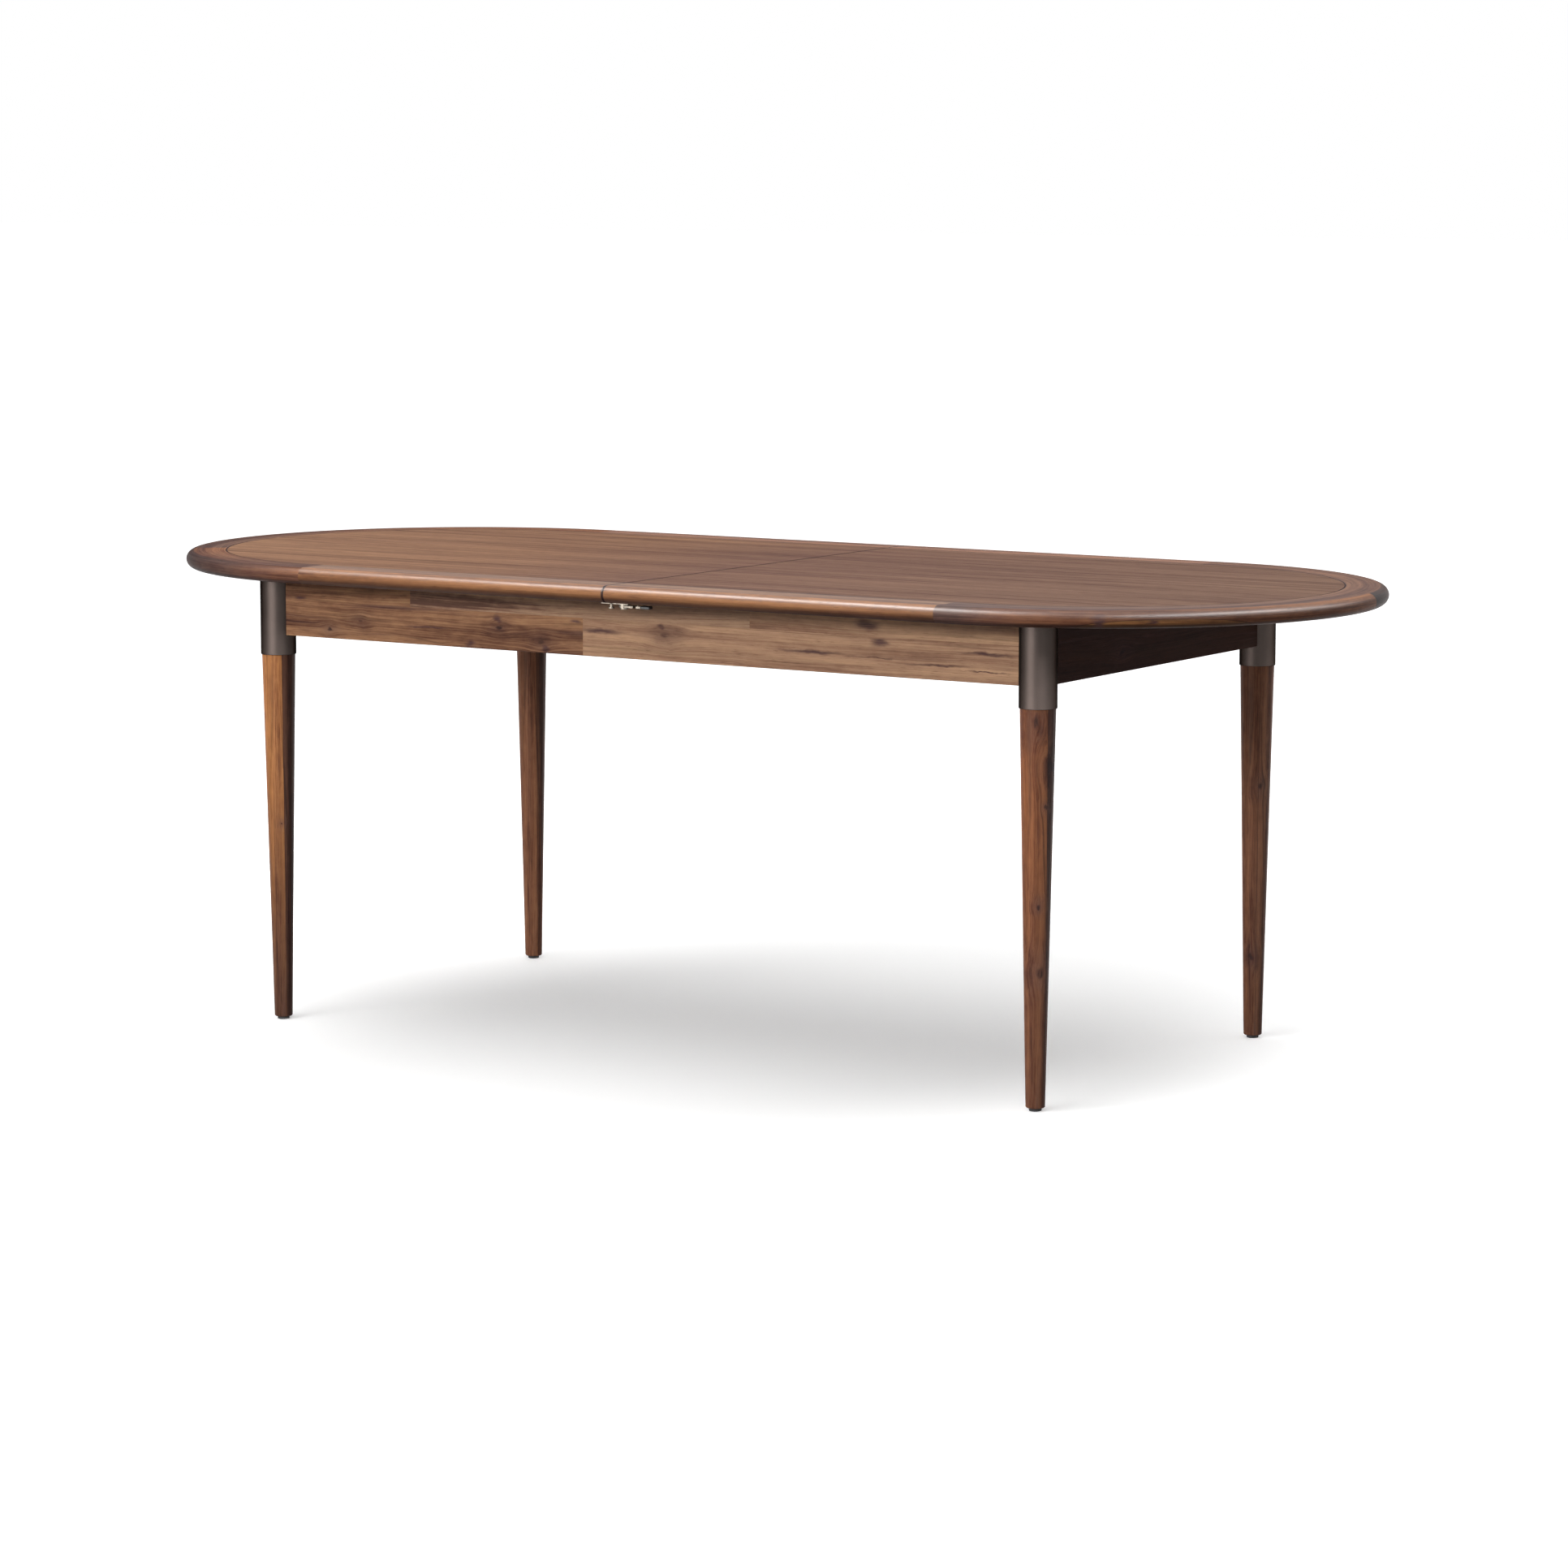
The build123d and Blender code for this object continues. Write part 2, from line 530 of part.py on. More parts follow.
def make_mover(x_sign, y_axis):
    """A grooved slide that carries a half top, running on the outside of the fixed rail's tongue."""
    middle_x = x_sign * (MOVER_OUTER_END - MOVER_INNER_END) / 2
    middle_y = y_axis + x_sign * (MOVER_FACE + MOVER_WIDTH / 2)
    groove_depth = TONGUE_DEPTH + SLIDE_CLEARANCE
    recess_depth = RACK_BACK - MOVER_FACE
    with BuildPart() as mover:
        with BuildSketch(Plane.XY.offset(SLIDE_BOTTOM)):
            with Locations((middle_x, middle_y)):
                Rectangle(MOVER_OUTER_END + MOVER_INNER_END, MOVER_WIDTH)
        extrude(amount=SLIDE_HEIGHT)
        with BuildSketch(Plane.XY.offset(BASE_TOP)):
            with Locations((x_sign * (SEAM_STANDOFF + MOVER_OUTER_END) / 2, middle_y)):
                Rectangle(MOVER_OUTER_END - SEAM_STANDOFF, MOVER_WIDTH)
        extrude(amount=TOP_CLEARANCE)
        with BuildSketch(Plane.XY.offset(TONGUE_TOP - TONGUE_HEIGHT - SLIDE_CLEARANCE)):
            with Locations((middle_x, y_axis + x_sign * (MOVER_FACE + groove_depth / 2))):
                Rectangle(MOVER_OUTER_END + MOVER_INNER_END, groove_depth)
        extrude(amount=TONGUE_HEIGHT + 2 * SLIDE_CLEARANCE, mode=Mode.SUBTRACT)
        recess_middle = -x_sign * (RACK_START + MOVER_INNER_END) / 2
        with BuildSketch(Plane.XY.offset(RACK_BOTTOM)):
            with Locations((recess_middle, y_axis + x_sign * (MOVER_FACE + recess_depth / 2))):
                Rectangle(MOVER_INNER_END - RACK_START, recess_depth)
        extrude(amount=RACK_THICKNESS, mode=Mode.SUBTRACT)
        places = mover_screw_places(x_sign, y_axis)
        with BuildSketch(Plane.XY.offset(SLIDE_BOTTOM)):
            with Locations(*places):
                Circle(SCREW_HEAD_RADIUS + COUNTERBORE_CLEARANCE)
        extrude(amount=MOVER_SCREW_SEAT, mode=Mode.SUBTRACT)
        with BuildSketch(Plane.XY.offset(SLIDE_BOTTOM)):
            with Locations(*places):
                Circle(SCREW_RADIUS)
        extrude(amount=SLIDE_HEIGHT + TOP_CLEARANCE, mode=Mode.SUBTRACT)
    return mover.part


slide_axes = {end: y_sign * SLIDE_SPREAD for end, y_sign in ENDS.items()}
save(Compound(children=[make_rail(y_axis) for y_axis in slide_axes.values()]), "slide_rails")
save(Compound(children=[make_pinion_pin(y_axis) for y_axis in slide_axes.values()]), "pinion_pins")
for end, y_axis in slide_axes.items():
    save(make_pinion(y_axis), f"{end}_pinion")
    for side, x_sign in SIDES.items():
        save(make_mover(x_sign, y_axis), f"{end}_{side}_slide")
for side, x_sign in SIDES.items():
    save(Compound(children=[make_rack(x_sign, y_axis) for y_axis in slide_axes.values()]), f"{side}_racks")

# ---------------------------------------------------------------- table top
# The rim's section, with its local X as the distance from the centre line and its local Y as the height.
with BuildSketch() as rim_section:
    with BuildLine():
        nose_x = END_RADIUS - TOP_THICKNESS / 2
        Polyline(
            (nose_x, TABLE_HEIGHT),
            (PANEL_RADIUS + GROOVE, TABLE_HEIGHT),
            (PANEL_RADIUS, TABLE_HEIGHT - GROOVE),
            (PANEL_RADIUS, UNDERSIDE),
            (nose_x, UNDERSIDE),
        )
        ThreePointArc(
            (nose_x, UNDERSIDE), (END_RADIUS, UNDERSIDE + TOP_THICKNESS / 2), (nose_x, TABLE_HEIGHT)
        )
    make_face()


def batten_screw_places(x_sign):
    """Where the batten is screwed to its half top."""
    middle = x_sign * (BATTEN_X + BATTEN_WIDTH / 2)
    return [(middle, row * BATTEN_SCREW_SPACING) for row in (-1, 0, 1)]


def top_screw_places(x_sign):
    """Every screw that enters the underside of a half top's field."""
    places = batten_screw_places(x_sign)
    for y_axis in slide_axes.values():
        places += mover_screw_places(x_sign, y_axis)
    return places


def make_field(x_sign):
    """The middle board of a half top, with the holes for its screws and alignment pins."""
    seam_x = x_sign * SEAM_GAP / 2
    centre_x = x_sign * END_CENTRE_X
    with BuildPart() as field:
        with BuildSketch(Plane.XY.offset(UNDERSIDE)):
            with BuildLine():
                Polyline(
                    (centre_x, PANEL_RADIUS),
                    (seam_x, PANEL_RADIUS),
                    (seam_x, -PANEL_RADIUS),
                    (centre_x, -PANEL_RADIUS),
                )
                ThreePointArc(
                    (centre_x, -PANEL_RADIUS),
                    (centre_x + x_sign * PANEL_RADIUS, 0),
                    (centre_x, PANEL_RADIUS),
                )
            make_face()
        extrude(amount=TOP_THICKNESS)
        chamfer(field.edges().group_by(Axis.Z)[-1], GROOVE)
        with BuildSketch(Plane.XY.offset(UNDERSIDE)):
            with Locations(*top_screw_places(x_sign)):
                Circle(SCREW_RADIUS)
        extrude(amount=SCREW_BITE, mode=Mode.SUBTRACT)
        pressed_hole = (PIN_RADIUS, PIN_SEAT)
        socket = (PIN_RADIUS + SOCKET_CLEARANCE, PIN_REACH + PIN_NOSE)
        hole_radius, hole_depth = pressed_hole if x_sign < 0 else socket
        with BuildSketch(Plane.YZ.offset(seam_x)):
            with Locations(*[(row, UNDERSIDE + TOP_THICKNESS / 2) for row in pin_rows()]):
                Circle(hole_radius)
        extrude(amount=x_sign * hole_depth, mode=Mode.SUBTRACT)
    return field.part


def pin_rows():
    """The alignment pins' distances from the centre line, front and rear."""
    return [sign * row for sign in ENDS.values() for row in PIN_ROWS]


def make_straight_rim(x_sign, y_sign):
    """The straight part of the rim, from the centre seam to the joint with the curved part."""
    start = Plane(origin=(x_sign * SEAM_GAP / 2, 0, 0), x_dir=(0, y_sign, 0), z_dir=(y_sign, 0, 0))
    with BuildPart() as rim:
        with BuildSketch(start):
            add(rim_section.sketch)
        extrude(amount=x_sign * y_sign * (RIM_JOINT_X - SEAM_GAP / 2))
        seam_face = rim.faces().sort_by(Axis.X)[0 if x_sign > 0 else -1]
        chamfer(seam_face.edges().sort_by(Axis.Z)[-1], GROOVE)
    return rim.part


def make_curved_rim(x_sign, y_sign, start_angle, arc):
    """The part of the rim round one end, with the short straight stretch beside the straight rim."""
    centre_x = x_sign * END_CENTRE_X
    joint = Plane(origin=(x_sign * RIM_JOINT_X, 0, 0), x_dir=(0, y_sign, 0), z_dir=(y_sign, 0, 0))
    turn = radians(start_angle)
    start = Plane(origin=(centre_x, 0, 0), x_dir=(cos(turn), sin(turn), 0), z_dir=(sin(turn), -cos(turn), 0))
    with BuildPart() as rim:
        with BuildSketch(start):
            add(rim_section.sketch)
        revolve(axis=Axis((centre_x, 0, 0), (0, 0, 1)), revolution_arc=arc)
        with BuildSketch(joint):
            add(rim_section.sketch)
        extrude(amount=x_sign * y_sign * (END_CENTRE_X - RIM_JOINT_X))
    return rim.part


# Where each curved rim starts and how far round it runs, in degrees counted from +X towards the rear.
curved_rims = {
    "front_right": (FRONT_TURN, FULL_TURN - FRONT_TURN + RIGHT_TIP_JOINT),
    "rear_right": (RIGHT_TIP_JOINT, REAR_TURN - RIGHT_TIP_JOINT),
    "front_left": (LEFT_TIP_JOINT, FRONT_TURN - LEFT_TIP_JOINT),
    "rear_left": (REAR_TURN, LEFT_TIP_JOINT - REAR_TURN),
}
for side, x_sign in SIDES.items():
    save(make_field(x_sign), f"{side}_top_field")
    for end, y_sign in ENDS.items():
        save(make_straight_rim(x_sign, y_sign), f"{end}_{side}_straight_rim")
        save(make_curved_rim(x_sign, y_sign, *curved_rims[f"{end}_{side}"]), f"{end}_{side}_curved_rim")

for side, x_sign in SIDES.items():
    with BuildPart() as batten:
        with BuildSketch(Plane.XY.offset(UNDERSIDE - BATTEN_THICKNESS)):
            with Locations((x_sign * (BATTEN_X + BATTEN_WIDTH / 2), 0)):
                Rectangle(BATTEN_WIDTH, BATTEN_LENGTH)
        extrude(amount=BATTEN_THICKNESS)
        with BuildSketch(Plane.XY.offset(UNDERSIDE - BATTEN_THICKNESS)):
            with Locations(*batten_screw_places(x_sign)):
                Circle(SCREW_RADIUS)
        extrude(amount=BATTEN_THICKNESS, mode=Mode.SUBTRACT)
    save(batten.part, f"{side}_batten")


def make_screw(x, y, seat):
    """A pan-head screw driven upwards, its head under the height where it seats."""
    with BuildPart() as screw:
        with BuildSketch(Plane.XY.offset(seat - SCREW_HEAD_HEIGHT)):
            with Locations((x, y)):
                Circle(SCREW_HEAD_RADIUS)
        extrude(amount=SCREW_HEAD_HEIGHT)
        chamfer(screw.edges().group_by(Axis.Z)[0], SCREW_HEAD_HEIGHT / 3)
        with BuildSketch(Plane.XY.offset(seat)):
            with Locations((x, y)):
                Circle(SCREW_RADIUS)
        extrude(amount=UNDERSIDE + SCREW_BITE - seat)
    return screw.part


for side, x_sign in SIDES.items():
    screws = [make_screw(x, y, UNDERSIDE - BATTEN_THICKNESS) for x, y in batten_screw_places(x_sign)]
    for y_axis in slide_axes.values():
        for x, y in mover_screw_places(x_sign, y_axis):
            screws.append(make_screw(x, y, SLIDE_BOTTOM + MOVER_SCREW_SEAT))
    save(Compound(children=screws), f"{side}_top_screws")


def make_pin(seam_x, row, height, seat):
    """An alignment pin lying along X, seated to the left of a seam face and nosing out to the right."""
    with BuildPart() as pin:
        with BuildSketch(Plane.YZ.offset(seam_x - seat)):
            with Locations((row, height)):
                Circle(PIN_RADIUS)
        extrude(amount=seat + PIN_REACH)
        chamfer(pin.edges().sort_by(Axis.X)[-1], PIN_NOSE)
    return pin.part


seam_pins = [make_pin(-SEAM_GAP / 2, row, UNDERSIDE + TOP_THICKNESS / 2, PIN_SEAT) for row in pin_rows()]
save(Compound(children=seam_pins), "alignment_pins")

# ---------------------------------------------------------------- stored leaf
# Both leaf halves are drawn as they lie in the open top, then placed where they are stored:
# the upper half turned over about the pivot line, the lower half dropped straight down under it.
UPPER_LEAF = Plane(origin=(-LEAF_END_X, LEAF_FOLD_Y, 2 * LEAF_PIVOT_Z), x_dir=(0, -1, 0), z_dir=(1, 0, 0))
LOWER_LEAF = Plane(
    origin=(LEAF_END_X, LEAF_FOLD_Y, LEAF_STACK_BOTTOM - UNDERSIDE), x_dir=(0, -1, 0), z_dir=(-1, 0, 0)
)
upper_middle = LEAF_STACK_TOP - TOP_THICKNESS / 2
lower_middle = LEAF_STACK_BOTTOM + TOP_THICKNESS / 2
hinge_places = [(index - (HINGE_COUNT - 1) / 2) * HINGE_SPACING for index in range(HINGE_COUNT)]
leaf_rows = [LEAF_FOLD_Y - row for row in PIN_ROWS]

for layer, home, middle in (("upper", UPPER_LEAF, upper_middle), ("lower", LOWER_LEAF, lower_middle)):
    with BuildPart() as leaf_field:
        with BuildSketch(home):
            Polygon(
                (0, UNDERSIDE),
                (PANEL_RADIUS, UNDERSIDE),
                (PANEL_RADIUS, TABLE_HEIGHT - GROOVE),
                (PANEL_RADIUS - GROOVE, TABLE_HEIGHT),
                (0, TABLE_HEIGHT),
                align=None,
            )
        extrude(amount=2 * LEAF_END_X)
        with BuildSketch(Plane.XZ.offset(-LEAF_FOLD_Y)):
            with Locations(*[(place, middle) for place in hinge_places]):
                Rectangle(HINGE_CUP_LENGTH, HINGE_CUP_HEIGHT)
        extrude(amount=HINGE_CUP_DEPTH, mode=Mode.SUBTRACT)
        with BuildSketch(Plane.YZ.offset(-LEAF_END_X)):
            with Locations(*[(row, middle) for row in leaf_rows]):
                Circle(PIN_RADIUS + SOCKET_CLEARANCE)
        extrude(amount=PIN_REACH + PIN_NOSE, mode=Mode.SUBTRACT)
        with BuildSketch(Plane.YZ.offset(LEAF_END_X)):
            with Locations(*[(row, middle) for row in leaf_rows]):
                Circle(PIN_RADIUS)
        extrude(amount=-PIN_SEAT, mode=Mode.SUBTRACT)
    save(leaf_field.part, f"leaf_{layer}_field")
    with BuildPart() as leaf_rim:
        with BuildSketch(home):
            add(rim_section.sketch)
        extrude(amount=2 * LEAF_END_X)
    save(leaf_rim.part, f"leaf_{layer}_rim")

leaf_pins = []
for middle in (upper_middle, lower_middle):
    leaf_pins += [make_pin(LEAF_END_X, row, middle, PIN_SEAT) for row in leaf_rows]
save(Compound(children=leaf_pins), "leaf_pins")

with BuildPart() as hinge_cups:
    with BuildSketch(Plane.XZ.offset(-LEAF_FOLD_Y)):
        with Locations(*[(place, z) for place in hinge_places for z in (upper_middle, lower_middle)]):
            Rectangle(HINGE_CUP_LENGTH, HINGE_CUP_HEIGHT)
    extrude(amount=HINGE_CUP_DEPTH)
save(hinge_cups.part, "leaf_hinge_cups")

with BuildPart() as hinge_links:
    with BuildSketch(Plane.XZ.offset(-LEAF_FOLD_Y)):
        with Locations(*[(place, (upper_middle + lower_middle) / 2) for place in hinge_places]):
            RectangleRounded(
                HINGE_LINK_LENGTH, upper_middle - lower_middle + HINGE_CUP_HEIGHT, HINGE_LINK_THICKNESS
            )
    extrude(amount=-HINGE_LINK_THICKNESS)
save(hinge_links.part, "leaf_hinge_links")

with BuildPart() as leaf_rests:
    with BuildSketch(Plane.XY.offset(LEAF_STACK_BOTTOM - REST_HEIGHT)):
        with GridLocations(2 * (CROSS_RAIL_INNER_X - REST_WIDTH / 2), 0, 2, 1):
            Rectangle(REST_WIDTH, REST_LENGTH)
    extrude(amount=REST_HEIGHT)
save(leaf_rests.part, "leaf_rests")


def make_pivot_plate(x, thickness, bottom):
    """An upright steel plate, rounded over the pivot line, from a height up to past the pivot pin."""
    with BuildPart() as plate:
        with BuildSketch(Plane.YZ.offset(x)):
            with Locations((LEAF_PIVOT_Y, LEAF_PIVOT_Z)):
                Circle(PIVOT_RADIUS + PIVOT_MARGIN)
            with Locations((LEAF_PIVOT_Y, (bottom + LEAF_PIVOT_Z) / 2)):
                Rectangle(2 * (PIVOT_RADIUS + PIVOT_MARGIN), LEAF_PIVOT_Z - bottom)
            with Locations((LEAF_PIVOT_Y, LEAF_PIVOT_Z)):
                Circle(PIVOT_RADIUS, mode=Mode.SUBTRACT)
        extrude(amount=thickness)
    return plate.part


ears = []
brackets = []
pivot_pins = []
for x_sign in SIDES.values():
    ear_x = x_sign * (LEAF_END_X - EAR_INSET)
    with BuildPart() as ear:
        add(make_pivot_plate(ear_x, -x_sign * PLATE_THICKNESS, LEAF_STACK_TOP))
        with BuildSketch(Plane.XY.offset(LEAF_STACK_TOP)):
            with Locations((ear_x - x_sign * EAR_FOOT / 2, LEAF_PIVOT_Y)):
                Rectangle(EAR_FOOT, EAR_WIDTH)
        extrude(amount=PLATE_THICKNESS)
    ears.append(ear.part)
    bracket_x = x_sign * CROSS_RAIL_INNER_X
    brackets.append(make_pivot_plate(bracket_x, -x_sign * PLATE_THICKNESS, BLOCK_TOP - BRACKET_LAP))
    pin_start = ear_x - x_sign * 2 * PLATE_THICKNESS
    pin_length = x_sign * (CROSS_RAIL_INNER_X + PLATE_THICKNESS) - pin_start
    with BuildPart() as pivot_pin:
        with BuildSketch(Plane.YZ.offset(pin_start)):
            with Locations((LEAF_PIVOT_Y, LEAF_PIVOT_Z)):
                Circle(PIVOT_RADIUS)
        extrude(amount=pin_length)
    pivot_pins.append(pivot_pin.part)
save(Compound(children=ears), "leaf_pivot_ears")
save(Compound(children=brackets), "leaf_pivot_brackets")
save(Compound(children=pivot_pins), "leaf_pivot_pins")


# ---------------------------------------------------------------- seam locks
def make_lock_plate(y_sign):
    """The plate under the right half that the lever is riveted to: boss, post and rivet head."""
    y = y_sign * LOCK_Y
    start = SEAM_GAP / 2 + LOCK_PLATE_MARGIN
    with BuildPart() as plate:
        with BuildSketch(Plane.XY.offset(LOCK_PLATE_BOTTOM)):
            with Locations(((start + LOCK_PLATE_END) / 2, y)):
                RectangleRounded(LOCK_PLATE_END - start, LOCK_PLATE_WIDTH, LOCK_PLATE_THICKNESS)
        extrude(amount=LOCK_PLATE_THICKNESS)
        with BuildSketch(Plane.XY.offset(LOCK_PLATE_BOTTOM)):
            with Locations((LOCK_PIVOT_X, y)):
                Circle(LOCK_BOSS_RADIUS)
        extrude(amount=-LOCK_BOSS_HEIGHT)
        with BuildSketch(Plane.XY.offset(LOCK_PLATE_BOTTOM)):
            with Locations((LOCK_PIVOT_X, y)):
                Circle(LOCK_POST_RADIUS)
        extrude(amount=LEVER_BOTTOM - LEVER_END_PLAY - LOCK_PLATE_BOTTOM)
        with BuildSketch(Plane.XY.offset(LEVER_BOTTOM - LEVER_END_PLAY)):
            with Locations((LOCK_PIVOT_X, y)):
                Circle(LOCK_HEAD_RADIUS)
        extrude(amount=-LOCK_HEAD_HEIGHT)
        fillet(plate.edges().group_by(Axis.Z)[0], LOCK_HEAD_HEIGHT / 3)
    return plate.part


def make_keeper(y_sign):
    """The plate under the left half with the headed stud that the lever hooks round."""
    y = y_sign * LOCK_Y
    start = SEAM_GAP / 2 + LOCK_PLATE_MARGIN
    head_top = LEVER_BOTTOM - STUD_HEAD_DROP
    with BuildPart() as keeper:
        with BuildSketch(Plane.XY.offset(LOCK_PLATE_BOTTOM)):
            with Locations((-(start + KEEPER_END) / 2, y)):
                RectangleRounded(KEEPER_END - start, LOCK_PLATE_WIDTH, LOCK_PLATE_THICKNESS)
        extrude(amount=LOCK_PLATE_THICKNESS)
        with BuildSketch(Plane.XY.offset(LOCK_PLATE_BOTTOM)):
            with Locations((-STUD_X, y)):
                Circle(STUD_RADIUS)
        extrude(amount=head_top - LOCK_PLATE_BOTTOM)
        with BuildSketch(Plane.XY.offset(head_top)):
            with Locations((-STUD_X, y)):
                Circle(STUD_HEAD_RADIUS)
        extrude(amount=-STUD_HEAD_HEIGHT)
        fillet(keeper.edges().group_by(Axis.Z)[0], STUD_HEAD_HEIGHT / 3)
    return keeper.part


def make_lever(y_sign):
    """The lever, open and pointing along +X; its slot takes the stud when it has swung outwards and round."""
    hub_radius = LOCK_POST_RADIUS + RUNNING_CLEARANCE
    slot_half = STUD_RADIUS + STUD_CLEARANCE
    with BuildPart() as lever:
        with BuildSketch(Plane.XY.offset(LEVER_BOTTOM)):
            with Locations((LOCK_PIVOT_X, y_sign * LOCK_Y)):
                Circle(LOCK_BOSS_RADIUS)
            with Locations((LOCK_PIVOT_X + LEVER_LENGTH / 2, y_sign * LOCK_Y)):
                Rectangle(LEVER_LENGTH, LEVER_WIDTH)
        extrude(amount=LEVER_THICKNESS)
        with BuildSketch(Plane.XY.offset(LEVER_BOTTOM)):
            with Locations((LOCK_PIVOT_X, y_sign * LOCK_Y)):
                Circle(hub_radius)
        extrude(amount=LEVER_THICKNESS, mode=Mode.SUBTRACT)
        with BuildSketch(Plane.XY.offset(LEVER_BOTTOM)):
            with Locations((LOCK_PIVOT_X + STUD_REACH, y_sign * LOCK_Y)):
                Circle(slot_half)
            with BuildLine():
                slot_arc = CenterArc((LOCK_PIVOT_X, y_sign * LOCK_Y), STUD_REACH, 0, y_sign * SLOT_TURN)
            SlotArc(slot_arc, 2 * slot_half)
        extrude(amount=LEVER_THICKNESS, mode=Mode.SUBTRACT)
    return lever.part


def make_grip(y_sign):
    """The moulded end of the lever, closed over the lever's tip."""
    start = LOCK_PIVOT_X + LEVER_LENGTH
    middle_z = (LEVER_TOP + LEVER_BOTTOM) / 2
    with BuildPart() as grip:
        with BuildSketch(Plane.YZ.offset(start)):
            with Locations((y_sign * LOCK_Y, middle_z)):
                RectangleRounded(GRIP_WIDTH, GRIP_THICKNESS, GRIP_THICKNESS / 3)
        extrude(amount=GRIP_LENGTH)
        chamfer(grip.faces().sort_by(Axis.X)[-1].edges(), GRIP_THICKNESS / 4)
    return grip.part


save(Compound(children=[make_lock_plate(y_sign) for y_sign in ENDS.values()]), "lock_plates")
save(Compound(children=[make_keeper(y_sign) for y_sign in ENDS.values()]), "lock_keepers")
for end, y_sign in ENDS.items():
    save(make_lever(y_sign), f"{end}_lock_lever")
    save(make_grip(y_sign), f"{end}_lock_grip")
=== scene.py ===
"""The looks of an extendable dining table.

The CAD pieces get their wood, metal, rubber and plastic finishes, and a floor, the light and the camera are
added. All lengths are in metres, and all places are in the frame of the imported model."""

import math

import bpy
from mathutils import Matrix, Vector


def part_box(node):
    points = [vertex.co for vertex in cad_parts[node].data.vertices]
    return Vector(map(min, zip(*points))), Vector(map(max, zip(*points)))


# ---------------------------------------------------------------- sizes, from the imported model

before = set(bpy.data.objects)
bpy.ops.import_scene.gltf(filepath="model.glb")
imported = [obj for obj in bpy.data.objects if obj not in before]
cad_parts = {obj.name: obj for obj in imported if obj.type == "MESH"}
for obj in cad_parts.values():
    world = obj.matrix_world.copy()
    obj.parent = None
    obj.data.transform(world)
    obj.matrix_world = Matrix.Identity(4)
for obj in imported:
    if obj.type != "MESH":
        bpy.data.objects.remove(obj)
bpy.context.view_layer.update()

X, Y, Z = 0, 1, 2
LOW, HIGH = 0, 1


def box_end(node, side, axis):
    """The low or high end of a node's box along an axis, to a tenth of a millimetre."""
    return round(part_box(node)[side][axis], 4)


def box_middle(node, axis):
    """The middle of a node's box along an axis, to a tenth of a millimetre."""
    low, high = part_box(node)
    return round((low[axis] + high[axis]) / 2, 4)


TOP_Z = box_end("right_top_field", HIGH, Z)
UNDERSIDE_Z = box_end("right_top_field", LOW, Z)
FIELD_RADIUS = box_end("right_top_field", HIGH, Y)  # of its rounded end, and half its width
RIM_RADIUS = box_end("rear_right_straight_rim", HIGH, Y)  # the same of the whole top
END_CENTRE_X = box_end("right_top_field", HIGH, X) - FIELD_RADIUS  # middle of each rounded end
RIM_MIDDLE_RADIUS = (FIELD_RADIUS + RIM_RADIUS) / 2
EDGE_RADIUS = (TOP_Z - UNDERSIDE_Z) / 2  # of the nose, the round outer edge of the rim
NOSE_RADIUS = RIM_RADIUS - 0.013  # where the flat of the rim starts to round over
NOSE_FADE = 0.003  # half the width over which the flat's colour turns into the nose's

# A leg's grain is laid out on two directions: across, which runs to the right as the front legs are
# seen from the front right of the table, and deep, which runs away from there.
ACROSS = Vector((0.842, 0.539, 0.0))
DEEP = Vector((-0.539, 0.842, 0.0))


def rgb(red, green, blue):
    """An sRGB colour of 0 to 255 as the linear colour that a shader takes."""

    def linear(value):
        value /= 255
        return value / 12.92 if value <= 0.04045 else ((value + 0.055) / 1.055) ** 2.4

    return (linear(red), linear(green), linear(blue), 1.0)


# ---------------------------------------------------------------- shader nodes


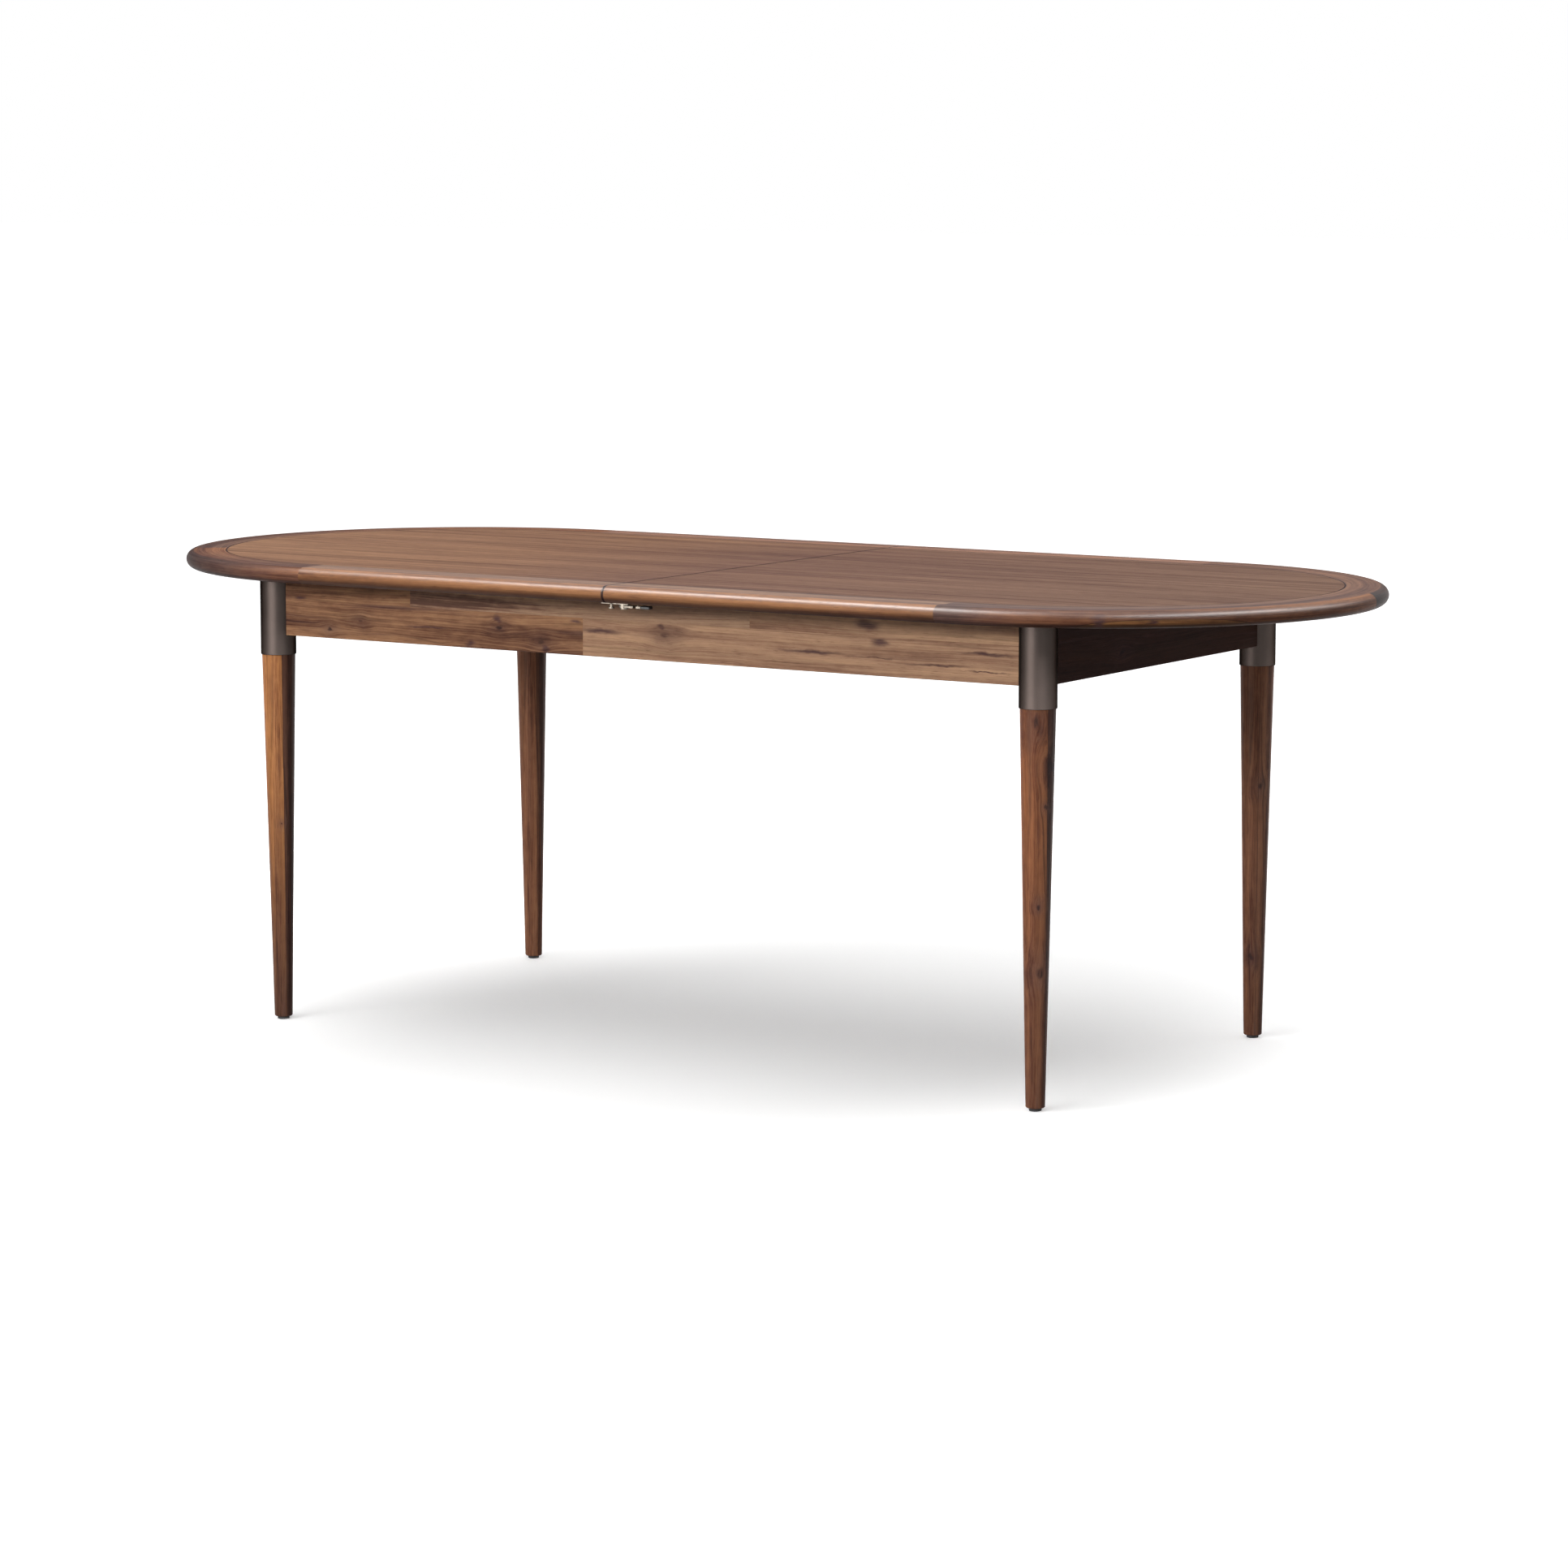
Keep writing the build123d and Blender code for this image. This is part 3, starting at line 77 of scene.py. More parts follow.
class Shader:
    """A material under construction. Its methods add nodes and return an output, so formulas nest. Where
    a method takes a value, that is a number, a colour or another node's output."""

    def __init__(self, name):
        self.material = bpy.data.materials.new(name)
        self.material.use_nodes = True
        self.tree = self.material.node_tree
        self.tree.nodes.clear()

    def feed(self, socket, value):
        if isinstance(value, bpy.types.NodeSocket):
            self.tree.links.new(value, socket)
        else:
            socket.default_value = value

    def node(self, kind, inputs=(), **settings):
        made = self.tree.nodes.new(kind)
        for key, value in settings.items():
            setattr(made, key, value)
        for key, value in dict(inputs).items():
            self.feed(made.inputs[key], value)
        return made

    def maths(self, operation, first, second=None):
        inputs = {0: first} if second is None else {0: first, 1: second}
        return self.node("ShaderNodeMath", inputs, operation=operation).outputs[0]

    def minus(self, first, second):
        return self.maths("SUBTRACT", first, second)

    def most(self, first, second):
        return self.maths("MAXIMUM", first, second)

    def length(self, first, second):
        """How far away a point is that lies first one way and second at right angles to it."""
        return self.maths("SQRT", self.add(self.times(first, first), self.times(second, second)))

    def add(self, *values):
        total = values[0]
        for value in values[1:]:
            total = self.maths("ADD", total, value)
        return total

    def times(self, first, second):
        return self.maths("MULTIPLY", first, second)

    def vector(self, operation, first, second=None):
        inputs = {0: first} if second is None else {0: first, 1: second}
        made = self.node("ShaderNodeVectorMath", inputs, operation=operation)
        single = operation in ("DOT_PRODUCT", "LENGTH")
        return made.outputs["Value" if single else "Vector"]

    def join(self, x, y, z):
        return self.node("ShaderNodeCombineXYZ", {0: x, 1: y, 2: z}).outputs[0]

    def split(self, vector):
        return self.node("ShaderNodeSeparateXYZ", {0: vector}).outputs

    def position(self):
        """The point in the frame that all pieces share, in metres."""
        return self.node("ShaderNodeTexCoord").outputs["Object"]

    def noise(self, place, scale, detail=3.0, roughness=0.55, colour=False):
        """Fractal noise round 0.5 in cells of 1/scale metres. scale is one number per axis."""
        made = self.node(
            "ShaderNodeTexNoise",
            {
                "Vector": self.vector("MULTIPLY", place, tuple(scale)),
                "Scale": 1.0,
                "Detail": detail,
                "Roughness": roughness,
            },
        )
        return made.outputs["Color" if colour else "Fac"]

    def smooth(self, value, low, high, start=0.0, end=1.0):
        """start up to low, end from high on, with a smooth step between them."""
        made = self.node(
            "ShaderNodeMapRange",
            {"Value": value, "From Min": low, "From Max": high, "To Min": start, "To Max": end},
            interpolation_type="SMOOTHSTEP",
        )
        return made.outputs[0]

    def line(self, value, middle, width):
        """1 on a line of that width with soft edges, 0 off it."""
        away = self.maths("ABSOLUTE", self.minus(value, middle))
        return self.smooth(away, width * 0.4, width * 0.7, 1.0, 0.0)

    def centred(self, noise, weight):
        """A noise that lies round 0.5 as a swing round 0."""
        return self.times(self.minus(noise, 0.5), weight)

    def ramp(self, value, stops, interpolation="LINEAR"):
        """Colours against value. stops is a list of (value, colour) in rising order."""
        low, high = stops[0][0], stops[-1][0]
        share = self.node(
            "ShaderNodeMapRange", {"Value": value, "From Min": low, "From Max": high}
        ).outputs[0]
        made = self.node("ShaderNodeValToRGB", {"Fac": share})
        made.color_ramp.interpolation = interpolation
        elements = made.color_ramp.elements
        while len(elements) < len(stops):
            elements.new(0.5)
        for element, (at, colour) in zip(elements, stops):
            element.position = (at - low) / (high - low)
            element.color = colour
        return made.outputs["Color"]

    def mix(self, share, first, second, kind="MIX"):
        """first where share is 0, second where it is 1."""
        made = self.node("ShaderNodeMix", data_type="RGBA", blend_type=kind)
        for socket, value in ((0, share), (6, first), (7, second)):
            self.feed(made.inputs[socket], value)
        return made.outputs[2]

    def finish(self, colour, roughness, height, bump, constants):
        """Joins everything to one Principled shader. bump is its strength and its depth in metres, and
        constants go on the shader's own sockets."""
        relief = self.node(
            "ShaderNodeBump", {"Strength": bump[0], "Distance": bump[1], "Height": height}
        ).outputs[0]
        inputs = {"Base Color": colour, "Roughness": roughness, "Normal": relief, **constants}
        surface = self.node("ShaderNodeBsdfPrincipled", inputs)
        output = self.node("ShaderNodeOutputMaterial")
        self.tree.links.new(surface.outputs[0], output.inputs["Surface"])
        return self.material


# ---------------------------------------------------------------- wood

# The darkest wood, also used as the painted shade on the underside of the rim's nose.
DARK_WOOD_AND_SHADE = rgb(44, 28, 26)
WOOD_PURPLE = rgb(84, 60, 58)
# Also the colour of the dirt and painted shade in the groove and on the middle seam.
KNOT_HEART_AND_GROOVE_SHADE = rgb(34, 22, 26)
GLUE_LINE = 0.0005  # width of the glue between two boards
GLUE_SHARE = 0.78  # this and the next three: the share of a dark colour mixed into the wood's own
GROOVE_SHARE = 0.88
PORE_SHARE = 0.26
FIBRE_SHARE = 0.14
WOOD_RELIEF = (0.25, 0.0004)  # strength and depth of the bump
GRAIN_SHADES = [  # what multiplies the board's colour, from the darkest growth bands to the palest
    (0.20, (0.36, 0.31, 0.34, 1)),
    (0.38, (0.72, 0.67, 0.68, 1)),
    (0.50, (1.00, 1.00, 1.00, 1)),
    (0.62, (1.24, 1.27, 1.22, 1)),
    (0.80, (1.55, 1.66, 1.56, 1)),
]


def grain_round_knots(s, place, knots, smudges, wave):
    """The distance across the grain, which wanders and parts to pass each knot. With it come how far
    a point is in the heart of a knot, and in dark wood round knots and in smudges, both 0 to 1."""
    across = s.split(place)[1]
    grain = s.add(across, s.centred(s.noise(place, (1.6, 7.0, 7.0), detail=2.0), wave * 2))
    ragged = s.noise(place, (28.0, 85.0, 85.0), detail=3.0, colour=True)
    ragged = s.vector("MULTIPLY", s.vector("SUBTRACT", ragged, (0.5, 0.5, 0.5)), (0.030, 0.011, 0.011))
    rough_place = s.vector("ADD", place, ragged)

    def away_from(centre, stretch):
        """The distance from a centre, in units that are smaller where stretch is larger."""
        return s.vector("LENGTH", s.vector("MULTIPLY", s.vector("SUBTRACT", rough_place, centre), stretch))

    # Knots and smudges reach further into the wood than they show on its face.
    heart = 0.0
    dark = 0.0
    for at_along, at_across, at_deep, radius in knots:
        away = away_from((at_along, at_across, at_deep), (0.6 / radius, 1 / radius, 0.4 / radius))
        near = s.maths("EXPONENT", s.times(s.times(away, away), -0.10))
        grain = s.minus(grain, s.times(s.times(s.minus(across, at_across), near), 0.8))
        heart = s.most(heart, s.smooth(away, 0.3, 1.1, 1.0, 0.0))
        dark = s.most(dark, s.times(near, 0.55))
    for at_along, at_across, at_deep, half_length, half_height in smudges:
        stretch = (1 / half_length, 1 / half_height, 0.3 / half_height)
        away = away_from((at_along, at_across, at_deep), stretch)
        dark = s.most(dark, s.smooth(away, 0.2, 1.3, 1.0, 0.0))
    return grain, heart, dark


def wood(
    name,
    layout,
    tint,
    knots=(),
    smudges=(),
    bands=60.0,
    contrast=1.0,
    figure=0.5,
    wave=0.010,
    gloss=0.42,
    specular=0.12,
    seams=(),
    lines=None,
):
    """Lacquered solid wood. layout(shader, point) gives the place as (along the grain, across it, deep).
    tint(shader, place) gives the board's middle colour. knots are (along, across, deep, radius), and
    smudges of dark heartwood are (along, across, deep, half length, half height). bands is how many
    growth bands lie in a metre, contrast how much they differ, figure how strong the dark heartwood
    is, and wave how far the grain wanders. gloss is the roughness. contrast and gloss are numbers or
    functions of (shader, place). seams(shader, place) are glue lines, and lines(shader, point) grooves."""
    s = Shader(name)
    place = layout(s, s.position())
    along, across, deep = s.split(place)
    grain, heart, dark = grain_round_knots(s, place, knots, smudges, wave)
    flow = s.join(along, grain, deep)

    # The three scales are along the grain, across it and deep. Pores are short dark dashes, veins are
    # thin dark contours of a broad noise, and streaks are long stains of heartwood.
    band = s.noise(flow, (1.5, bands, bands * 0.6), detail=4.0, roughness=0.62)
    fine = s.noise(flow, (7.0, bands * 7, bands * 7), detail=3.0, roughness=0.65)
    broad = s.noise(flow, (1.3, 15.0, 11.0), detail=2.0)
    mottle = s.noise(place, (35.0, 90.0, 90.0), detail=3.0, roughness=0.6)
    fibre = s.noise(flow, (45.0, 1500.0, 1500.0), detail=2.0)
    pore = s.smooth(s.noise(flow, (60.0, 900.0, 900.0), detail=1.0), 0.62, 0.72)
    contour = s.maths("ABSOLUTE", s.minus(s.noise(flow, (0.9, 26.0, 17.0), detail=2.0), 0.5))
    vein = s.times(s.smooth(contour, 0.002, 0.022, 1.0, 0.0), s.smooth(band, 0.40, 0.60))
    streak = s.smooth(s.noise(flow, (2.1, 48.0, 30.0), detail=4.0, roughness=0.68), 0.54, 0.72)

    strength = contrast(s, place) if callable(contrast) else contrast
    lines_swing = s.add(s.centred(band, 1.0), s.centred(fine, 0.55))
    swing = s.add(lines_swing, s.centred(broad, 0.6), s.centred(mottle, 0.25))
    shade = s.ramp(s.add(0.5, s.times(swing, strength)), GRAIN_SHADES)
    colour = s.mix(1.0, tint(s, place), shade, "MULTIPLY")
    purple = s.mix(1.0, WOOD_PURPLE, shade, "MULTIPLY")
    streak = s.times(s.times(streak, figure), strength)
    heartwood = s.most(streak, s.times(dark, s.smooth(fine, 0.25, 0.6, 0.55, 1.0)))
    colour = s.mix(heartwood, colour, purple)
    colour = s.mix(s.times(vein, figure * 0.7), colour, DARK_WOOD_AND_SHADE)
    colour = s.mix(s.times(pore, PORE_SHARE), colour, DARK_WOOD_AND_SHADE)
    colour = s.mix(s.times(s.smooth(fibre, 0.3, 0.7), FIBRE_SHARE), colour, DARK_WOOD_AND_SHADE)
    if knots:
        colour = s.mix(s.times(heart, s.smooth(fine, 0.3, 0.6, 0.25, 0.8)), colour, KNOT_HEART_AND_GROOVE_SHADE)
    for seam in seams:
        colour = s.mix(s.times(seam(s, place), GLUE_SHARE), colour, DARK_WOOD_AND_SHADE)
    # Grooves darkened with dirt and painted shade.
    if lines:
        colour = s.mix(s.times(lines(s, s.position()), GROOVE_SHARE), colour, KNOT_HEART_AND_GROOVE_SHADE)

    dull = gloss(s, place) if callable(gloss) else gloss
    roughness = s.add(dull, s.times(fine, 0.12), s.times(pore, 0.12), -0.06)
    height = s.add(s.times(fibre, 0.4), s.times(fine, 0.4), s.times(pore, -0.8))
    return s.finish(colour, roughness, height, WOOD_RELIEF, {"Specular IOR Level": specular})


def plain(colour):
    """A tint that is one colour all over."""
    return lambda s, place: colour


def along_x(s, point):
    """Grain along the table's length."""
    return point


def along_y(s, point):
    """Grain across the table's length."""
    x, y, z = s.split(point)
    return s.join(y, z, x)


def leg_layout(axis_x, axis_y):
    """Grain up a leg whose axis stands at that point."""

    def layout(s, point):
        offset = s.vector("SUBTRACT", point, (axis_x, axis_y, 0.0))
        z = s.split(point)[2]
        return s.join(z, s.vector("DOT_PRODUCT", offset, ACROSS), s.vector("DOT_PRODUCT", offset, DEEP))

    return layout


def bent_layout(side):
    """Grain that follows a rounded end. side is 1 for the right end and -1 for the left one.
    Along is measured from the tip, positive towards the rear."""

    def layout(s, point):
        x, y, z = s.split(point)
        outward = s.minus(s.times(x, side), END_CENTRE_X)
        angle = s.maths("ARCTAN2", y, outward)
        return s.join(s.times(angle, RIM_MIDDLE_RADIUS), s.length(outward, y), z)

    return layout


def past(s, value, joint):
    """1 where the value is past the joint, 0 before it."""
    return s.maths("GREATER_THAN", value, joint)


def degrees(angle):
    """Where an angle from the tip lies on a rounded end's grain, in metres along."""
    return math.radians(angle) * RIM_MIDDLE_RADIUS


def staves(boundaries):
    """Dark glue lines at these places across the grain."""

    def seams(s, place):
        across = s.split(place)[1]
        found = 0.0
        for boundary in boundaries:
            found = s.most(found, s.line(across, boundary, GLUE_LINE))
        return found

    return seams


# ---- top

GROOVE_LINE = 0.0026  # width of the dark line between the field and the rim
SEAM_EDGE = 0.0028  # half the width of the painted shade on the middle seam
SHEET_WIDTH = 0.13  # of one sheet of veneer
SHEET_STEP_ALONG = 2.7  # how far apart in the log two sheets are cut
SHEET_STEP_DEEP = 1.9


def top_lines(s, point):
    """Dirt and painted shade in the groove round the field, and on the outside of the middle seam, which
    runs over the flat of the top and round the nose."""
    x, y, z = s.split(point)
    past_end = s.most(s.minus(s.maths("ABSOLUTE", x), END_CENTRE_X), 0.0)
    groove = s.line(s.length(past_end, y), FIELD_RADIUS, GROOVE_LINE)
    past_nose = s.most(s.minus(s.maths("ABSOLUTE", y), RIM_RADIUS - EDGE_RADIUS), 0.0)
    above_middle = s.minus(z, TOP_Z - EDGE_RADIUS)
    # 1 on the surface and 0 from 1.6 mm inside it, so that the faces in the seam keep their own colour
    skin = s.smooth(s.length(past_nose, above_middle), EDGE_RADIUS - 0.0016, EDGE_RADIUS - 0.0006)
    seam = s.smooth(s.maths("ABSOLUTE", x), SEAM_EDGE * 0.7, SEAM_EDGE, 1.0, 0.0)
    return s.most(groove, s.times(seam, skin))


def top_layout(s, point):
    """Sheets of veneer side by side, each from another place in the log."""
    x, y, z = s.split(point)
    sheet = s.maths("FLOOR", s.times(s.add(y, FIELD_RADIUS), 1 / SHEET_WIDTH))
    along = s.add(x, s.times(sheet, SHEET_STEP_ALONG))
    return s.join(along, y, s.add(z, s.times(sheet, SHEET_STEP_DEEP)))


def top_tint_with_painted_light(s, place):
    """The veneer is warmest and lightest at the left end, painted light that stands in for the lamps on
    that side, and darkest at the middle seam.
    """
    x = s.split(s.position())[X]
    return s.ramp(
        x,
        [
            (-1.0, rgb(137, 101, 77)),
            (-0.45, rgb(128, 93, 71)),
            (0.0, rgb(109, 79, 66)),
            (1.0, rgb(118, 90, 75)),
        ],
    )


top_wood = wood(
    "top veneer",
    top_layout,
    top_tint_with_painted_light,
    bands=80.0,
    contrast=0.85,
    figure=0.35,
    wave=0.006,
    gloss=0.60,
    specular=0.008,
    lines=top_lines,
)

# ---- rims

RIM_FLAT = rgb(122, 88, 66)
RIM_GOLD = rgb(136, 90, 58)
RIM_UMBER = rgb(92, 68, 60)
RIM_BROWN = rgb(122, 80, 58)
RIM_TAN = rgb(146, 96, 64)
RIM_COCOA = rgb(104, 70, 54)
RIM_DARK = rgb(44, 30, 29)
LENS_WOOD = rgb(158, 112, 70)
LENS_MIDDLE = -47.0  # degrees from the tip
LENS_HALF = 17.5
LENS_RISE = 0.0145
LENS_LINE = 0.0009
LAST_BLOCK_END = 92.0  # degrees from the tip, just past the end of a curved rim
BLOCK_JOINT = 0.12  # degrees over which one block's colour gives way to the next
NOSE_ROUGHNESS = 0.43
FLAT_ROUGHNESS = 0.80
PAINTED_SHADE_SHARE = 0.86  # the share of painted shade on the underside of the nose
PAINTED_SHADE_FULL = 0.0040  # height above the underside up to which it is that dark


def rim_gloss(s, place):
    """The flat is rubbed down to satin, and the nose shines more."""
    z = s.split(s.position())[Z]
    return s.smooth(z, TOP_Z - 0.0048, TOP_Z - 0.0016, NOSE_ROUGHNESS, FLAT_ROUGHNESS)


def rounding(s, from_middle):
    """0 on the flat of the rim, 1 on its nose."""
    return s.smooth(from_middle, NOSE_RADIUS - NOSE_FADE, NOSE_RADIUS + NOSE_FADE)


def painted_under_shade(s, z, height, colour):
    """Painted shade darkens the underside of the nose, from that height above the underside down."""
    share = s.smooth(z, UNDERSIDE_Z + PAINTED_SHADE_FULL, UNDERSIDE_Z + height, PAINTED_SHADE_SHARE, 0.0)
    return s.mix(share, colour, DARK_WOOD_AND_SHADE)


def straight_rim_tint(s, place):
    """The front has a paler nose, and the rear is one brown."""
    x, y, z = s.split(place)
    front = s.mix(rounding(s, s.maths("ABSOLUTE", y)), RIM_FLAT, RIM_GOLD)
    colour = s.mix(past(s, y, 0.0), front, RIM_BROWN)
    # Painted shade on the underside of the nose.
    return painted_under_shade(s, z, 0.0165, colour)


rim_wood = wood(
    "straight rim wood",
    along_x,
    straight_rim_tint,
    contrast=1.2,
    figure=0.4,
    gloss=rim_gloss,
    specular=0.045,
    lines=top_lines,
)


def blocks(*spans):
    """Ramp stops for blocks of wood butted together round a curved rim. spans are (first angle, first
    colour, last colour), with the angle in degrees from the tip."""
    ends = [start for start, first, last in spans[1:]] + [LAST_BLOCK_END]
    stops = []
    for (start, first, last), end in zip(spans, ends):
        stops += [(degrees(start), first), (degrees(end - BLOCK_JOINT), last)]
    return stops


def let_in_lens(s, along, z, colour):
    """A lens-shaped block let into the lower half of the nose, with a dark glue line round it."""
    off = s.times(s.minus(along, degrees(LENS_MIDDLE)), 1 / degrees(LENS_HALF))
    inside = s.most(s.minus(1.0, s.times(off, off)), 0.0)
    outline = s.add(UNDERSIDE_Z - 0.0005, s.times(s.maths("SQRT", inside), LENS_RISE))
    depth = s.minus(outline, z)
    colour = s.mix(s.smooth(depth, -0.0002, 0.0002), colour, LENS_WOOD)
    return s.mix(s.times(s.line(depth, 0.0, LENS_LINE), 0.75), colour, DARK_WOOD_AND_SHADE)


def curved_rim_tint(flat_stops, nose_stops, has_lens):
    """Colours of the flat and of the nose against the place along the rounded end."""

    def tint(s, place):
        along, radius, z = s.split(place)
        colour = s.mix(rounding(s, radius), s.ramp(along, flat_stops), s.ramp(along, nose_stops))
        if has_lens:
            colour = let_in_lens(s, along, z, colour)
        # Painted shade on the underside of the nose.
        return painted_under_shade(s, z, 0.0090, colour)

    return tint


right_rim_wood = wood(
    "right curved rim wood",
    bent_layout(1),
    curved_rim_tint(
        blocks((-92, RIM_UMBER, RIM_COCOA), (9, RIM_COCOA, RIM_COCOA)),
        blocks(
            (-92, RIM_UMBER, RIM_UMBER),
            (-87, RIM_UMBER, RIM_BROWN),
            (-79, RIM_BROWN, RIM_TAN),
            (9, RIM_DARK, RIM_BROWN),
        ),
        has_lens=True,
    ),
    smudges=[(degrees(-60), 0.455, 0.742, 0.010, 0.006), (degrees(-50), 0.456, 0.745, 0.010, 0.0016)],
    contrast=1.3,
    figure=0.6,
    gloss=rim_gloss,
    specular=0.03,
    lines=top_lines,
)
left_rim_wood = wood(
    "left curved rim wood",
    bent_layout(-1),
    curved_rim_tint(
        blocks((-92, RIM_UMBER, RIM_BROWN), (-33, RIM_UMBER, RIM_BROWN)),
        blocks((-92, RIM_BROWN, RIM_UMBER), (-70, RIM_UMBER, RIM_DARK), (-33, RIM_DARK, RIM_DARK)),
        has_lens=False,
    ),
    contrast=1.3,
    figure=0.6,
    gloss=rim_gloss,
    specular=0.015,
    lines=top_lines,
)

# ---- aprons

APRON_ROW_Z = 0.700  # the glue line between the two rows of boards
FRONT_FACE_Y = box_end("front_apron", LOW, Y)
REAR_FACE_Y = box_end("rear_apron", HIGH, Y)
LEFT_FACE_X = box_end("left_apron", LOW, X)
RIGHT_FACE_X = box_end("right_apron", HIGH, X)
BOARD_STEP = 1.37  # how far apart in the log two boards are cut
APRON_GOLD = rgb(168, 131, 104)
APRON_RED = rgb(141, 102, 76)
APRON_PALE = rgb(160, 126, 102)


def in_upper_row(s, z):
    """1 in the upper row of boards, 0 in the lower one."""
    return s.smooth(z, APRON_ROW_Z - 0.0001, APRON_ROW_Z + 0.0001)


def apron_layout(lower_joint, upper_joints):
    """Boards in two rows along x, each from another place in the log. From the left, the lower row's
    boards are 0 and 1, and the upper row's 3, 4 and 5."""

    def layout(s, point):
        x, y, z = s.split(point)
        upper = in_upper_row(s, z)
        lower_board = past(s, x, lower_joint)
        upper_board = s.add(past(s, x, upper_joints[0]), past(s, x, upper_joints[1]), 3.0)
        board = s.add(s.times(s.minus(1.0, upper), lower_board), s.times(upper, upper_board))
        return s.join(x, z, s.add(y, s.times(board, BOARD_STEP)))

    return layout


def apron_tint(lower_joint, upper_joints, lower_colours, upper_colours):
    """One colour per board, from the left."""

    def tint(s, place):
        along, across, deep = s.split(place)
        lower = s.mix(past(s, along, lower_joint), *lower_colours)
        upper = s.mix(past(s, along, upper_joints[0]), upper_colours[0], upper_colours[1])
        upper = s.mix(past(s, along, upper_joints[1]), upper, upper_colours[2])
        return s.mix(in_upper_row(s, across), lower, upper)

    return tint


def on_board(board, marks, face=FRONT_FACE_Y):
    """Knots or smudges on the outer face of one board. marks are (x, z, then the sizes)."""
    return [(x, z, face + BOARD_STEP * board, *size) for x, z, *size in marks]


FRONT_LOWER_JOINT = -0.098
FRONT_UPPER_JOINTS = (-0.436, 0.214)
LEFT_BOARD_CONTRAST = 1.5
RIGHT_BOARD_CONTRAST = 0.75


def front_contrast(s, place):
    """The boards left of the lower joint have the stronger grain."""
    along = s.split(place)[0]
    left_end, right_start = FRONT_LOWER_JOINT - 0.0005, FRONT_LOWER_JOINT + 0.0005
    return s.smooth(along, left_end, right_start, LEFT_BOARD_CONTRAST, RIGHT_BOARD_CONTRAST)


front_apron_wood = wood(
    "front apron wood",
    apron_layout(FRONT_LOWER_JOINT, FRONT_UPPER_JOINTS),
    apron_tint(
        FRONT_LOWER_JOINT,
        FRONT_UPPER_JOINTS,
        (APRON_RED, APRON_GOLD),
        (APRON_RED, APRON_PALE, APRON_GOLD),
    ),
    knots=on_board(
        0,
        [
            (-0.601, 0.655, 0.0040),
            (-0.536, 0.671, 0.0040),
            (-0.261, 0.676, 0.0042),
            (-0.176, 0.659, 0.0045),
        ],
    )
    + on_board(1, [(0.059, 0.682, 0.0068)]),
    smudges=on_board(
        0,
        [
            (-0.400, 0.669, 0.050, 0.0022),
            (-0.316, 0.648, 0.011, 0.0075),
            (-0.263, 0.689, 0.009, 0.0100),
            (-0.170, 0.648, 0.010, 0.0100),
            (-0.115, 0.693, 0.012, 0.0040),
        ],
    )
    + on_board(
        1,
        [
            (-0.066, 0.682, 0.045, 0.0050),
            (0.052, 0.694, 0.012, 0.0070),
            (0.325, 0.671, 0.070, 0.0034),
            (0.347, 0.671, 0.034, 0.0014),
            (0.447, 0.692, 0.017, 0.0080),
            (0.435, 0.6675, 0.060, 0.0012),
            (0.545, 0.6625, 0.070, 0.0022),
            (0.635, 0.6570, 0.050, 0.0012),
            (0.640, 0.6850, 0.060, 0.0030),
        ],
    )
    + on_board(3, [(-0.660, 0.704, 0.016, 0.0040)])
    + on_board(5, [(0.425, 0.717, 0.022, 0.0100)]),
    contrast=front_contrast,
    wave=0.016,
    figure=0.5,
    gloss=0.5,
    specular=0.03,
)
REAR_LOWER_JOINT = 0.162
REAR_UPPER_JOINTS = (-0.305, 0.338)
rear_apron_wood = wood(
    "rear apron wood",
    apron_layout(REAR_LOWER_JOINT, REAR_UPPER_JOINTS),
    apron_tint(
        REAR_LOWER_JOINT,
        REAR_UPPER_JOINTS,
        (APRON_GOLD, APRON_RED),
        (APRON_PALE, APRON_RED, APRON_GOLD),
    ),
    knots=on_board(0, [(-0.42, 0.668, 0.005), (0.05, 0.655, 0.004)], REAR_FACE_Y)
    + on_board(1, [(0.44, 0.672, 0.006)], REAR_FACE_Y),
    smudges=on_board(0, [(-0.20, 0.680, 0.050, 0.003)], REAR_FACE_Y)
    + on_board(1, [(0.30, 0.660, 0.060, 0.003)], REAR_FACE_Y),
    wave=0.016,
    figure=0.6,
    gloss=0.5,
    specular=0.12,
)
# The end aprons' dark brown is partly the wood's own tone and partly painted shade for the right end, which
# faces away from the lamps; the left end shares this wood.
end_apron_wood = wood(
    "end apron wood",
    along_y,
    plain(rgb(51, 30, 24)),
    knots=[(-0.12, 0.672, RIGHT_FACE_X, 0.006), (0.16, 0.700, LEFT_FACE_X, 0.005)],
    wave=0.014,
    figure=0.6,
    gloss=0.6,
    specular=0.02,
    seams=[staves([APRON_ROW_Z])],
)

# ---- legs

LEG_GOLD = rgb(176, 116, 70)
LEG_ORANGE = rgb(143, 88, 56)
LEG_BROWN = rgb(112, 72, 52)
LEG_UMBER = rgb(84, 54, 42)
LEG_ROSE = rgb(138, 92, 68)
LEG_REACH = 0.028  # from the axis, just past the leg's surface
FOOT_SHADE = 0.95  # the share of the foot's colour at the floor
FOOT_SHADE_TOP = 0.56  # height at which none of it is left


def leg_tint(stave_colours, joints, foot):
    """Staves glued side by side, and a darker foot."""
    starts = [-LEG_REACH, *joints]
    stops = [*zip(starts, stave_colours), (LEG_REACH, stave_colours[-1])]

    def tint(s, place):
        along, across, deep = s.split(place)
        colour = s.ramp(across, stops, "CONSTANT")
        return s.mix(s.smooth(along, 0.0, FOOT_SHADE_TOP, FOOT_SHADE, 0.0), colour, foot)

    return tint


